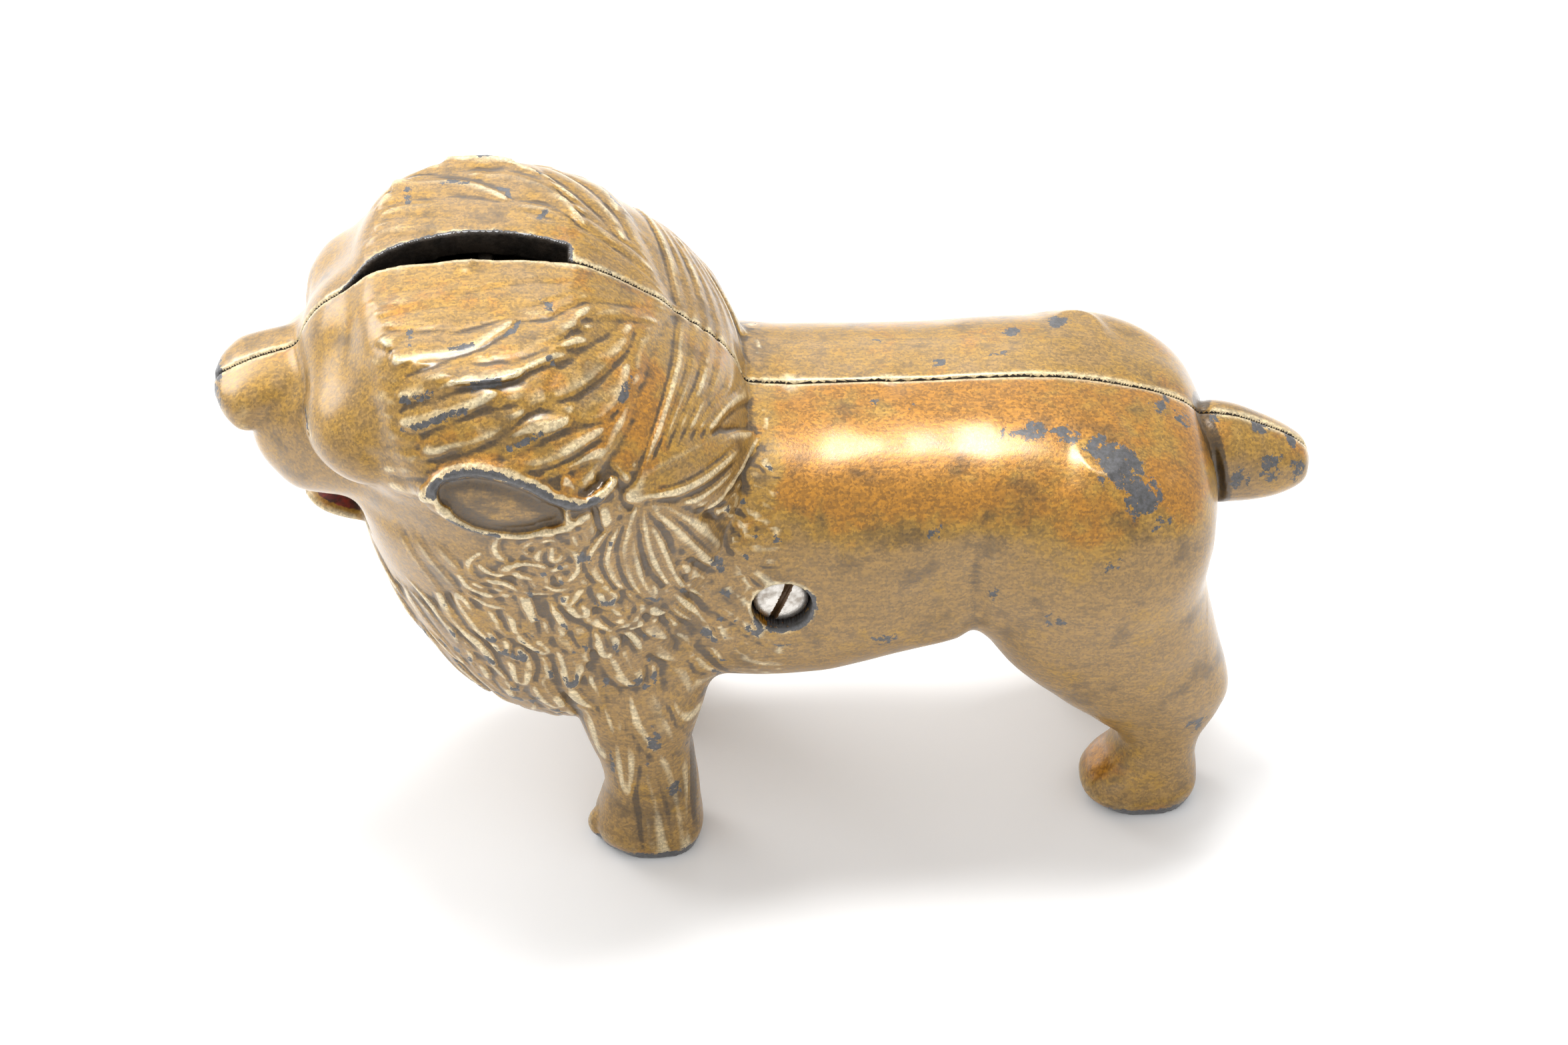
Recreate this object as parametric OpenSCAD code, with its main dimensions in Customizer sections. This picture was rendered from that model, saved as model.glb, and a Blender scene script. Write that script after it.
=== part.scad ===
// Standing lion still bank: two hollow iron castings clamped by one screw.
// Origin: on the floor, midway between the nose and the tail tip, on the parting plane.
// X runs from the nose (-X) to the tail (+X), Y across the animal, Z up.

/* [Animal] */
// Nose to tail tip
body_len = 133; // [110:0.5:160]
// Height of the crown of the head
crown_h = 83; // [69:0.5:100]
// Height of the back
back_h = 61.7; // [51:0.1:66]
// Height of the belly above the floor
belly_h = 25; // [20:0.5:30]
// Width across the barrel of the body
barrel_w = 41; // [34:0.5:50]
// Width across the mane
mane_w = 55; // [48:0.5:66]
// Width across the muzzle
muzzle_w = 27; // [22:0.5:33]
// Width across the tail
tail_w = 11; // [8:0.5:14]

/* [Legs] */
// Middle of each front leg, out from the parting plane
front_stance = 13; // [11:0.1:16]
// Middle of each hind leg, out from the parting plane
hind_stance = 10.4; // [8.5:0.1:12.5]
// Centre of the front paws, behind the nose
front_paw_set = 51; // [46:0.5:56]
// Centre of the hind paws, ahead of the tail tip
hind_paw_set = 19; // [17:0.5:23]
// Width of a paw
paw_w = 12.2; // [10:0.1:14.7]

/* [Casting] */
// Wall of the hollow castings
wall = 3; // [2.4:0.1:4]
// Outside of the two posts that meet at the parting plane
post_d = 10; // [9:0.5:13]

/* [Coin slot] */
// Length of the slot along the crown
slot_len = 26.2; // [21.8:0.1:31.5]
// Width of the slot at its widest
slot_w = 5; // [4.1:0.1:6]
// Front end of the slot, behind the nose
slot_set = 16; // [14:0.5:19]

/* [Screw] */
// Shank of the clamping screw
screw_d = 3.5; // [2.9:0.1:4.5]
// Across the round head
screw_head_d = 6.3; // [5.2:0.1:7.6]
// Height of the round head
screw_head_h = 2.5; // [2:0.1:3.2]
// Length of thread held by the right casting
thread_hold = 12.5; // [8:0.5:13]
// Width of the driver slot
driver_slot_w = 1.1; // [0.8:0.1:1.4]
// Depth of the driver slot
driver_slot_h = 1.3; // [0.8:0.1:1.6]
// Tilt of the driver slot from upright, in degrees
driver_slot_tilt = 21; // [0:1:90]
// Screw centre, behind the nose
screw_set = 66; // [65:0.5:70]
// Screw centre above the floor
screw_z = 44; // [40:0.5:47]
// Depth of the counterbore below the flank
recess_depth = 3.4; // [2.8:0.1:4.1]
// Room around the head in its counterbore, on the diameter
head_clearance = 1.3; // [0.8:0.1:1.8]
// Room around the shank in the plain hole, on the diameter
shank_clearance = 0.5; // [0.3:0.1:0.8]
// Room around the thread in the tapped hole, on the diameter
thread_clearance = 0.12; // [0.08:0.02:0.2]
// Room past the tip of the screw in the tapped hole
tip_clearance = 1.5; // [0.5:0.1:2]

/* [Hidden] */
$fn = 48;
big = 400;

half_barrel = barrel_w / 2;
half_mane = mane_w / 2;
half_muzzle = muzzle_w / 2;
half_tail = tail_w / 2;
half_paw = paw_w / 2;
nose_x = -body_len / 2;
tail_x = body_len / 2;
front_paw_x = nose_x + front_paw_set;
hind_paw_x = tail_x - hind_paw_set;
recess_floor = half_barrel - recess_depth;
recess_d = screw_head_d + head_clearance;
plain_hole_d = screw_d + shank_clearance;
tapped_hole_d = screw_d + thread_clearance;
dome_r = (screw_head_d * screw_head_d / 4 + screw_head_h * screw_head_h) / (2 * screw_head_h);
screw_x = nose_x + screw_set;
screw_len = recess_floor + thread_hold;
tip_chamfer = 0.6;
slot_peak = 0.6 * slot_len;
slot_r = (slot_peak * slot_peak + slot_w * slot_w) / (2 * slot_w);
chest_h = 17.5;

// Heights and places that are shared out between two named sizes
function share(low, high, s) = low + (high - low) * s;
function depth(s) = share(belly_h, back_h, s);
function mane_up(s) = share(chest_h, crown_h, s);
function waist(s) = share(nose_x + 55.5, tail_x - 39.5, s);

// ---- stations along X: [place, low, high, half width, squareness] ----

barrel = [
    [nose_x + 35.5, depth(0.11), depth(0.89), half_barrel - 2, 2.4],
    [waist(0), depth(0.03), depth(1.02), half_barrel - 0.4, 2.6],
    [waist(0.37), depth(0), depth(1.005), half_barrel, 2.6],
    [waist(0.68), depth(0.065), depth(1), half_barrel, 2.6],
    [waist(1), depth(0.18), depth(1), half_barrel + 0.2, 2.6],
    [tail_x - 29.5, depth(0.3), depth(0.98), half_barrel, 2.5],
    [tail_x - 21.5, depth(0.33), depth(0.92), half_barrel - 2.4, 2.4],
    [tail_x - 15.5, depth(0.38), depth(0.82), half_barrel - 6.5, 2.3],
    [tail_x - 12.3, depth(0.48), depth(0.7), half_barrel - 12, 2.2],
    [tail_x - 11.5, depth(0.57), depth(0.61), 2, 2]
];

tail = [
    [tail_x - 21.5, back_h - 16, back_h - 8, half_tail - 1, 2.2],
    [tail_x - 15, back_h - 18.4, back_h - 6.4, half_tail, 2.2],
    [tail_x - 9.5, back_h - 19, back_h - 7.2, half_tail, 2.2],
    [tail_x - 4.4, back_h - 18.2, back_h - 10, half_tail - 0.5, 2.2],
    [tail_x - 1, back_h - 17, back_h - 13, half_tail - 2.2, 2.1],
    [tail_x, back_h - 15.8, back_h - 15, 0.5, 2]
];

muzzle = [
    [nose_x, crown_h - 18.8, crown_h - 16.4, 3.5, 3],
    [nose_x + 0.9, crown_h - 20.8, crown_h - 15.2, half_muzzle - 7, 3.2],
    [nose_x + 2.8, crown_h - 22.6, crown_h - 14.4, half_muzzle - 6.4, 3],
    [nose_x + 5, crown_h - 26, crown_h - 13.4, half_muzzle - 5.5, 2.6],
    [nose_x + 7.5, crown_h - 31.5, crown_h - 12, half_muzzle - 3, 2.5],
    [nose_x + 11, crown_h - 35.5, crown_h - 10.6, half_muzzle - 1, 2.5],
    [nose_x + 15, crown_h - 38, crown_h - 9, half_muzzle, 2.5],
    [nose_x + 22, crown_h - 39, crown_h - 7, half_muzzle + 2, 2.5]
];

// ---- stations up Z: [place, front, rear, half width, squareness] ----

mane = [
    [mane_up(0), nose_x + 39.5, nose_x + 45.5, 6, 2],
    [mane_up(0.04), nose_x + 33.5, nose_x + 48.5, half_mane - 15, 2.2],
    [mane_up(0.115), nose_x + 27.5, nose_x + 55.5, half_mane - 10, 2.3],
    [mane_up(0.22), nose_x + 21.5, nose_x + 61, half_mane - 6.4, 2.4],
    [mane_up(0.36), nose_x + 17, nose_x + 63.3, half_mane - 4, 2.5],
    [mane_up(0.5), nose_x + 15, nose_x + 64.3, half_mane - 2.3, 2.6],
    [mane_up(0.65), nose_x + 12.5, nose_x + 63.7, half_mane - 0.5, 2.8],
    [mane_up(0.77), nose_x + 10.5, nose_x + 60.9, half_mane, 3],
    [mane_up(0.863), nose_x + 10.9, nose_x + 55.9, half_mane - 1, 3],
    [mane_up(0.93), nose_x + 14.5, nose_x + 50.9, half_mane - 3.5, 2.8],
    [mane_up(0.98), nose_x + 18.5, nose_x + 45.1, half_mane - 8, 2.6],
    [mane_up(1), nose_x + 24.5, nose_x + 35.5, half_mane - 18, 2.4]
];

// Legs, measured from the centre of the paw
front_leg = [
    [0, -5.9, 4.6, half_paw - 0.9, 2.6],
    [2.6, -8.3, 5.6, half_paw, 2.6],
    [6, -8, 5.3, half_paw - 0.3, 2.6],
    [9.5, -7.1, 5, half_paw - 0.8, 2.5],
    [14, -7.6, 4.6, half_paw - 0.6, 2.4],
    [19, -9, 4.4, half_paw + 0.2, 2.4],
    [depth(0.08), -11.5, 6.5, half_paw + 1, 2.3],
    [depth(0.33), -13, 8, half_paw, 2.3]
];

hind_leg = [
    [0, -6.4, 4.9, half_paw - 0.9, 2.6],
    [2.2, -9.2, 6.1, half_paw, 2.6],
    [4.8, -8.6, 6, half_paw - 0.3, 2.6],
    [8, -5.6, 5.5, half_paw - 1, 2.4],
    [12, -5, 6.2, half_paw - 0.9, 2.4],
    [16.2, -9.4, 8.2, half_paw, 2.4],
    [20.4, -13.8, 9, half_paw + 1.4, 2.4],
    [depth(0.08), -20.6, 7.2, half_paw + 3, 2.4],
    [depth(0.33), -24.6, 5.2, half_paw + 4.6, 2.4],
    [depth(0.6), -24.4, 4.6, half_paw + 4.4, 2.4],
    [depth(0.82), -19, 1, half_paw + 2, 2.3],
    [depth(0.905), -12, -6, half_paw - 1, 2.2]
];

// ---- smooth curve through the stations (Catmull-Rom) ----

function row(t, i) = t[max(0, min(len(t) - 1, i))];
function bend(a, b, c, d, u) =
    b + 0.5 * u * ((c - a) + u * ((2 * a - 5 * b + 4 * c - d) + u * (3 * (b - c) + d - a)));
function at(t, s) =
    let (i = min(len(t) - 2, floor(s)))
    bend(row(t, i - 1), row(t, i), row(t, i + 1), row(t, i + 2), s - i);
function resample(t, per) = [for (k = [0:(len(t) - 1) * per]) at(t, k / per)];

// The same stations drawn in by a wall on every side
function drawn_in(r, mid, share, wall) =
    let (centre = (r[1] + r[2]) / 2, half = max(0.5, (r[2] - r[1]) / 2 - wall))
    [mid + (r[0] - mid) * share, centre - half, centre + half, max(0.5, r[3] - wall), r[4]];
function hollow(t, wall) =
    let (span = t[len(t) - 1][0] - t[0][0], mid = t[0][0] + span / 2)
    [for (r = t) drawn_in(r, mid, 1 - 2 * wall / span, wall)];

// Points of a superellipse, left-handed about the loft's direction
function power(c, n) = sign(c) * pow(abs(c), 2 / n);
function ring(w, h, n, sides) =
    [for (k = [0:sides - 1]) let (a = 360 * (k + 0.5) / sides) [w * power(cos(a), n), h * power(sin(a), n)]];

// Closed skin over rings with the same number of points
module skin(rings) {
    n = len(rings[0]);
    m = len(rings);
    sides = [for (i = [0:m - 2]) for (k = [0:n - 1])
        let (a = i * n + k, b = i * n + (k + 1) % n)
        each [[a, b, b + n], [a, b + n, a + n]]];
    first = [for (k = [n - 1:-1:0]) k];
    last = [for (k = [0:n - 1]) (m - 1) * n + k];
    polyhedron([for (r = rings) each r], concat(sides, [first, last]), convexity = 6);
}

module along_x(t, sides, per) {
    skin([for (r = resample(t, per))
        [for (p = ring(r[3], (r[2] - r[1]) / 2, r[4], sides)) [r[0], -p[0], (r[1] + r[2]) / 2 + p[1]]]]);
}

module up_z(t, sides, per) {
    skin([for (r = resample(t, per))
        [for (p = ring((r[2] - r[1]) / 2, r[3], r[4], sides)) [(r[1] + r[2]) / 2 + p[0], -p[1], r[0]]]]);
}

// ---- features of the head, on the side that y gives ----

module egg(centre, radii) {
    translate(centre) scale(radii) sphere(1, $fn = 28);
}

module brow(y) {
    egg([nose_x + 17, y * (half_mane - 15), crown_h - 14.5], [7.6, 9, 9]);
}

// Leaf-shaped ear, lying back along the side of the head
module ear(y) {
    translate([nose_x + 35, y * (half_mane - 0.8), crown_h - 14.5])
    rotate([0, 8, 0])
    scale([9.6, 2.6, 4.4])
    sphere(1, $fn = 24);
}

// Open mouth, between the upper lip and the lower jaw
module mouth() {
    egg([nose_x + 10, 0, crown_h - 34.5], [7, half_muzzle + 1, 2.6]);
}

// Whole animal, before it is split
module lion() {
    along_x(barrel, 36, 3);
    along_x(tail, 20, 3);
    difference() {
        along_x(muzzle, 28, 3);
        mouth();
    }
    up_z(mane, 44, 2);
    for (y = [-1, 1]) {
        brow(y);
        ear(y);
        translate([front_paw_x, y * front_stance, 0]) up_z(front_leg, 20, 2);
        translate([hind_paw_x, y * hind_stance, 0]) up_z(hind_leg, 24, 2);
    }
}

module coin_chamber() {
    along_x(hollow(barrel, wall), 32, 2);
    up_z(hollow(mane, wall), 36, 2);
}

// One casting: the side of the animal that y gives, hollowed from the parting plane
module casting(y) {
    resize([body_len, 0, crown_h]) intersection() {
        difference() {
            lion();
            coin_chamber();
        }
        translate([-big / 2, y > 0 ? 0 : -big, -big / 2]) cube(big);
    }
}

// Round bar along Y, between two distances from the parting plane on one side
module bar(y, near, far, d) {
    translate([screw_x, y > 0 ? near : -far, screw_z])
    rotate([-90, 0, 0])
    cylinder(d = d, h = far - near);
}

// Notch for the coins: its near edge is the parting line, and its far edge is bowed
module coin_slot() {
    translate([nose_x + slot_set, 0, crown_h - 12]) linear_extrude(20) intersection() {
        translate([slot_peak, slot_w - slot_r]) circle(slot_r, $fn = 180);
        translate([-1, -1]) square([slot_len + 1, slot_w + 2]);
    }
}

module left_half() {
    color("goldenrod") difference() {
        union() {
            casting(-1);
            bar(-1, 0, half_barrel - 1, post_d);
        }
        bar(-1, -1, half_barrel, plain_hole_d);
        bar(-1, recess_floor, half_mane + 5, recess_d);
    }
}

module right_half() {
    color("goldenrod") difference() {
        union() {
            casting(1);
            bar(1, 0, half_barrel - 1, post_d);
        }
        bar(1, -1, thread_hold + tip_clearance, tapped_hole_d);
        coin_slot();
    }
}

module clamp_screw() {
    color("silver")
    translate([screw_x, -recess_floor, screw_z])
    rotate([-90, 0, 0])
    difference() {
        rotate_extrude() {
            intersection() {
                translate([0, dome_r - screw_head_h]) circle(dome_r, $fn = 96);
                translate([0, -screw_head_h]) square([screw_head_d, screw_head_h]);
            }
            polygon([
                [0, 0],
                [screw_d / 2, 0],
                [screw_d / 2, screw_len - tip_chamfer],
                [screw_d / 2 - tip_chamfer, screw_len],
                [0, screw_len]
            ]);
        }
        rotate([0, 0, driver_slot_tilt])
        translate([-driver_slot_w / 2, -screw_head_d, -screw_head_h - 1])
        cube([driver_slot_w, 2 * screw_head_d, driver_slot_h + 1]);
    }
}

left_half();
right_half();
clamp_screw();
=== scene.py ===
import math
from functools import partial

import bmesh
import bpy
import numpy as np
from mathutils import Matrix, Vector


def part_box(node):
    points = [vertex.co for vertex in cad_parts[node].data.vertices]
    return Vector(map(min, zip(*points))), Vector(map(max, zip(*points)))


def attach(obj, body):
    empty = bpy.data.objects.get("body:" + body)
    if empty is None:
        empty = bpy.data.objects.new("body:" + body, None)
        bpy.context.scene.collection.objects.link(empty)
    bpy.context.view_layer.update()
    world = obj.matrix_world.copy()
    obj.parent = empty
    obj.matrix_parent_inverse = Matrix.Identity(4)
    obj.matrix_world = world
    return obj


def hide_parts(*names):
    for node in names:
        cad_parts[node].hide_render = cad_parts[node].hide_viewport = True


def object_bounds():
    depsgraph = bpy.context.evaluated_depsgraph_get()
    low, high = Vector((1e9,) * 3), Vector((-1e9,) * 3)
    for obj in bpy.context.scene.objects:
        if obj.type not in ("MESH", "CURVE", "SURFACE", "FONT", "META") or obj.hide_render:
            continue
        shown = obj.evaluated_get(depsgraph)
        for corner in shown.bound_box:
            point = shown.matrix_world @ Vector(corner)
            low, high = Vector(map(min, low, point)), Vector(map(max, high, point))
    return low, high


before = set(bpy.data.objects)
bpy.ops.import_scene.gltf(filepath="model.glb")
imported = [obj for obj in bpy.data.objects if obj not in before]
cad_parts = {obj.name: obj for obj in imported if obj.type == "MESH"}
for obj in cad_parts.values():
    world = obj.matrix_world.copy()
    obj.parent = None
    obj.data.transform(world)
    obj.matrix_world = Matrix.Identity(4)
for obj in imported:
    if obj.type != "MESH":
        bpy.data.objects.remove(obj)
cadLow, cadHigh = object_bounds()
mm = 0.001

cameraSetup = {"azimuth": -4, "elevation": 42, "distance": 562, "target": (1.2, 0, 39.3), "lens": 103.78}


def placeCamera(setup):
    camera = bpy.data.objects.new("camera", bpy.data.cameras.new("camera"))
    bpy.context.scene.collection.objects.link(camera)
    a, e = math.radians(setup["azimuth"]), math.radians(setup["elevation"])
    back = np.array([math.sin(a) * math.cos(e), -math.cos(a) * math.cos(e), math.sin(e)])
    camera.location = (np.array(setup["target"]) + setup["distance"] * back) * mm
    camera.rotation_mode = "QUATERNION"
    camera.rotation_quaternion = Vector(-back).to_track_quat("-Z", "Y")
    camera.data.sensor_width = 36
    camera.data.lens = setup["lens"]
    camera.data.clip_start, camera.data.clip_end = 0.01, 20
    bpy.context.scene.camera = camera


placeCamera(cameraSetup)

# Shape of the animal, in millimetres
lionForm = {
    "voxel": 0.32, "quickVoxel": 0.5,
    "back": 61.7, "belly": 25.0, "chest": 17.5,
    "halfBarrel": 20.5, "halfMane": 27.5, "halfMuzzle": 13.5, "halfTail": 5.5, "halfPaw": 6.1,
    "frontPaw": (51, 13.7), "hindPaw": (-19, 10.4),
    "wall": 3.0, "post": 5.0, "seamGap": 0.09, "seamRound": 0.35, "faces": 190000,
}
noseX, tailX, crownZ = cadLow.x / mm, cadHigh.x / mm, cadHigh.z / mm
screwLow, screwHigh = (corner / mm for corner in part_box("clamp_screw"))
screwX, screwZ = (screwLow.x + screwHigh.x) / 2, (screwLow.z + screwHigh.z) / 2


def depth(share):
    return lionForm["belly"] + (lionForm["back"] - lionForm["belly"]) * share


def maneUp(share):
    return lionForm["chest"] + (crownZ - lionForm["chest"]) * share


def waist(share):
    return noseX + 55.5 + (tailX - 39.5 - noseX - 55.5) * share


barrel, mane = lionForm["halfBarrel"], lionForm["halfMane"]
muzzle, paw = lionForm["halfMuzzle"], lionForm["halfPaw"]
tail, back = lionForm["halfTail"], lionForm["back"]

# Each row: place, low side, high side, half width, squareness
barrelRows = [
    (noseX + 35.5, depth(.11), depth(.89), barrel - 2, 2.4),
    (waist(0), depth(.03), depth(1.03), barrel - .2, 3),
    (waist(.37), depth(0), depth(1.01), barrel, 2.9),
    (waist(.68), depth(.065), depth(1), barrel, 2.7),
    (waist(1), depth(.18), depth(1), barrel, 2.6),
    (tailX - 29.5, depth(.3), depth(.98), barrel - .2, 2.5),
    (tailX - 22, depth(.33), depth(.925), barrel - 1.6, 2.4),
    (tailX - 16, depth(.38), depth(.85), barrel - 4.6, 2.3),
    (tailX - 13.2, depth(.48), depth(.74), barrel - 9.5, 2.2),
    (tailX - 12.3, depth(.57), depth(.64), 3, 2),
]
tailRows = [
    (tailX - 19, back - 15, back - 7.5, tail - 2, 2.2),
    (tailX - 14, back - 19.6, back - 7.2, tail, 2.2),
    (tailX - 9.5, back - 20.2, back - 8, tail, 2.2),
    (tailX - 4.4, back - 19.6, back - 10.6, tail - .6, 2.2),
    (tailX - 1, back - 18, back - 13, tail - 2.2, 2.1),
    (tailX - .1, back - 15.8, back - 15, .6, 2),
]
muzzleRows = [
    (noseX + 3.4, 60.5, 66.5, 3, 2.2),
    (noseX + 4.2, 58, 68, muzzle - 7.5, 2.3),
    (noseX + 6, 55.6, 69, muzzle - 5.2, 2.4),
    (noseX + 8.5, 53.9, 70.5, muzzle - 2.9, 2.5),
    (noseX + 12, 54.2, 72.5, muzzle - .4, 2.5),
    (noseX + 16, 55, 73.4, muzzle + 2.4, 2.4),
    (noseX + 20, 53.6, 73.8, muzzle + 5.6, 2.3),
    (noseX + 26, 51.5, 74.2, muzzle + 8.6, 2.2),
]
noseRows = [
    (noseX - .4, 65.2, 67, 2.2, 2.2),
    (noseX + .2, 64.4, 67.6, 4.3, 2.4),
    (noseX + 1.2, 63.5, 68.2, 5.9, 2.6),
    (noseX + 2.7, 62.7, 69, 7, 2.9),
    (noseX + 5.5, 62.4, 70.2, 6.9, 3),
    (noseX + 9.5, 63, 71.6, 6.6, 3),
    (noseX + 14, 64, 73.4, 6.4, 2.8),
]
maneRows = [
    (maneUp(0), noseX + 39.5, noseX + 45.5, 6, 2),
    (maneUp(.04), noseX + 34.5, noseX + 48.5, mane - 15, 2.2),
    (maneUp(.115), noseX + 28.5, noseX + 55.5, mane - 10, 2.3),
    (maneUp(.22), noseX + 22.5, noseX + 61, mane - 6.8, 2.4),
    (maneUp(.36), noseX + 18.3, noseX + 63.3, mane - 4.6, 2.5),
    (maneUp(.5), noseX + 16, noseX + 64.3, mane - 2.9, 2.6),
    (maneUp(.6), noseX + 15.3, noseX + 64.1, mane - 1.6, 2.7),
    (maneUp(.66), noseX + 17, noseX + 63.6, mane - .8, 2.7),
    (maneUp(.77), noseX + 16, noseX + 60.9, mane - .4, 2.8),
    (maneUp(.863), noseX + 15, noseX + 54.8, mane - 1.4, 2.8),
    (maneUp(.93), noseX + 16, noseX + 49.2, mane - 4.2, 2.6),
    (maneUp(.98), noseX + 18.5, noseX + 43.4, mane - 8.6, 2.4),
    (maneUp(.998), noseX + 24.5, noseX + 35.5, mane - 18, 2.3),
    (maneUp(1.004), noseX + 29, noseX + 31, mane - 25.5, 2),
]
frontLegRows = [
    (0, -5.9, 4.6, paw - .9, 2.6), (2.6, -8.1, 5.4, paw - .2, 2.6), (6, -7.6, 5.1, paw - .5, 2.5),
    (9.5, -6.9, 4.9, paw - .9, 2.4), (14, -7.4, 4.6, paw - .6, 2.3), (19, -9, 4.4, paw + .2, 2.3),
    (depth(.08), -11.5, 6.5, paw + 1, 2.3), (depth(.33), -13, 8, paw, 2.3),
]
hindLegRows = [
    (0, -6.4, 4.9, paw - .9, 2.6), (2.2, -8.9, 5.9, paw - .2, 2.6), (4.8, -8.2, 5.8, paw - .5, 2.5),
    (8, -5.6, 5.5, paw - 1, 2.4), (12, -5, 6.2, paw - .9, 2.4), (16.2, -9.4, 8.2, paw, 2.3),
    (20.4, -13.8, 9, paw + 1.4, 2.3), (depth(.08), -20.6, 7.2, paw + 3, 2.3),
    (depth(.33), -24.6, 5.2, paw + 4.5, 2.3), (depth(.6), -24.4, 4.6, paw + 4.2, 2.3),
    (depth(.82), -19, 1, paw + 1.8, 2.3), (depth(.905), -12, -6, paw - 1, 2.2),
]


# Smooth curve through rows of numbers
def smoothRows(rows, per=10):
    r = np.array(rows, float)
    last = len(r) - 1
    out = []
    for k in range(last * per + 1):
        i = min(k // per, last - 1)
        u = k / per - i
        q0, q1, q2, q3 = r[max(i - 1, 0)], r[i], r[i + 1], r[min(i + 2, last)]
        curve = 2 * q0 - 5 * q1 + 4 * q2 - q3 + u * (3 * (q1 - q2) + q3 - q0)
        out.append(q1 + .5 * u * (q2 - q0 + u * curve))
    return np.array(out)


# Rows of the hollow inside, a wall away from the outside
def drawnIn(rows, wall):
    span, middle = rows[-1][0] - rows[0][0], (rows[0][0] + rows[-1][0]) / 2
    out = []
    for place, low, high, half, square in rows:
        tall = max(.5, (high - low) / 2 - wall)
        shift = middle + (place - middle) * (1 - 2 * wall / span)
        out.append((shift, (low + high) / 2 - tall, (low + high) / 2 + tall, max(.5, half - wall), square))
    return out


# Distance from a loft of rounded sections, below zero inside
def loftField(place, side, across, rows):
    s = smoothRows(rows)
    s = s[np.argsort(s[:, 0])]
    at = np.interp(place, s[:, 0], np.arange(len(s)))
    i = np.minimum(at.astype(int), len(s) - 2)
    u = at - i
    low, high, half, n = [s[i, c] * (1 - u) + s[i + 1, c] * u for c in (1, 2, 3, 4)]
    middle, tall = (low + high) / 2, np.maximum((high - low) / 2, .3)
    half = np.maximum(half, .3)
    a, c = np.abs(across) / half, np.abs(side - middle) / tall
    g = (np.power(a, n) + np.power(c, n)) ** (1 / n)
    slope = np.sqrt((np.power(a, n - 1) / half) ** 2 + (np.power(c, n - 1) / tall) ** 2)
    d = (g - 1) / np.maximum(slope / np.maximum(g, .05) ** (n - 1), .02)
    over = np.maximum(s[0, 0] - place, place - s[-1, 0])
    return np.where(over > 0, np.maximum(d, 0) + over, d)


def ovalField(x, y, z, centre, radii, turn=0.0):
    dx, dy, dz = x - centre[0], y - centre[1], z - centre[2]
    c, s = math.cos(math.radians(turn)), math.sin(math.radians(turn))
    dx, dz = c * dx + s * dz, c * dz - s * dx
    g = np.sqrt((dx / radii[0]) ** 2 + (dy / radii[1]) ** 2 + (dz / radii[2]) ** 2)
    slope = np.sqrt((dx / radii[0] ** 2) ** 2 + (dy / radii[1] ** 2) ** 2 + (dz / radii[2] ** 2) ** 2)
    return (g - 1) / np.maximum(slope / np.maximum(g, .05), .02)


# Round strip along points (x, y, z, radius)
def stripField(x, y, z, points):
    best = None
    path = smoothRows(points, 4)
    for start, end in zip(path, path[1:]):
        e = end - start
        w = ((x - start[0]) * e[0] + (y - start[1]) * e[1] + (z - start[2]) * e[2]) / (e[:3] @ e[:3])
        w = np.clip(w, 0, 1)
        d = np.sqrt(sum((q - start[c] - w * e[c]) ** 2 for c, q in enumerate((x, y, z))))
        d = d - (start[3] + e[3] * w)
        best = d if best is None else np.minimum(best, d)
    return best


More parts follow.
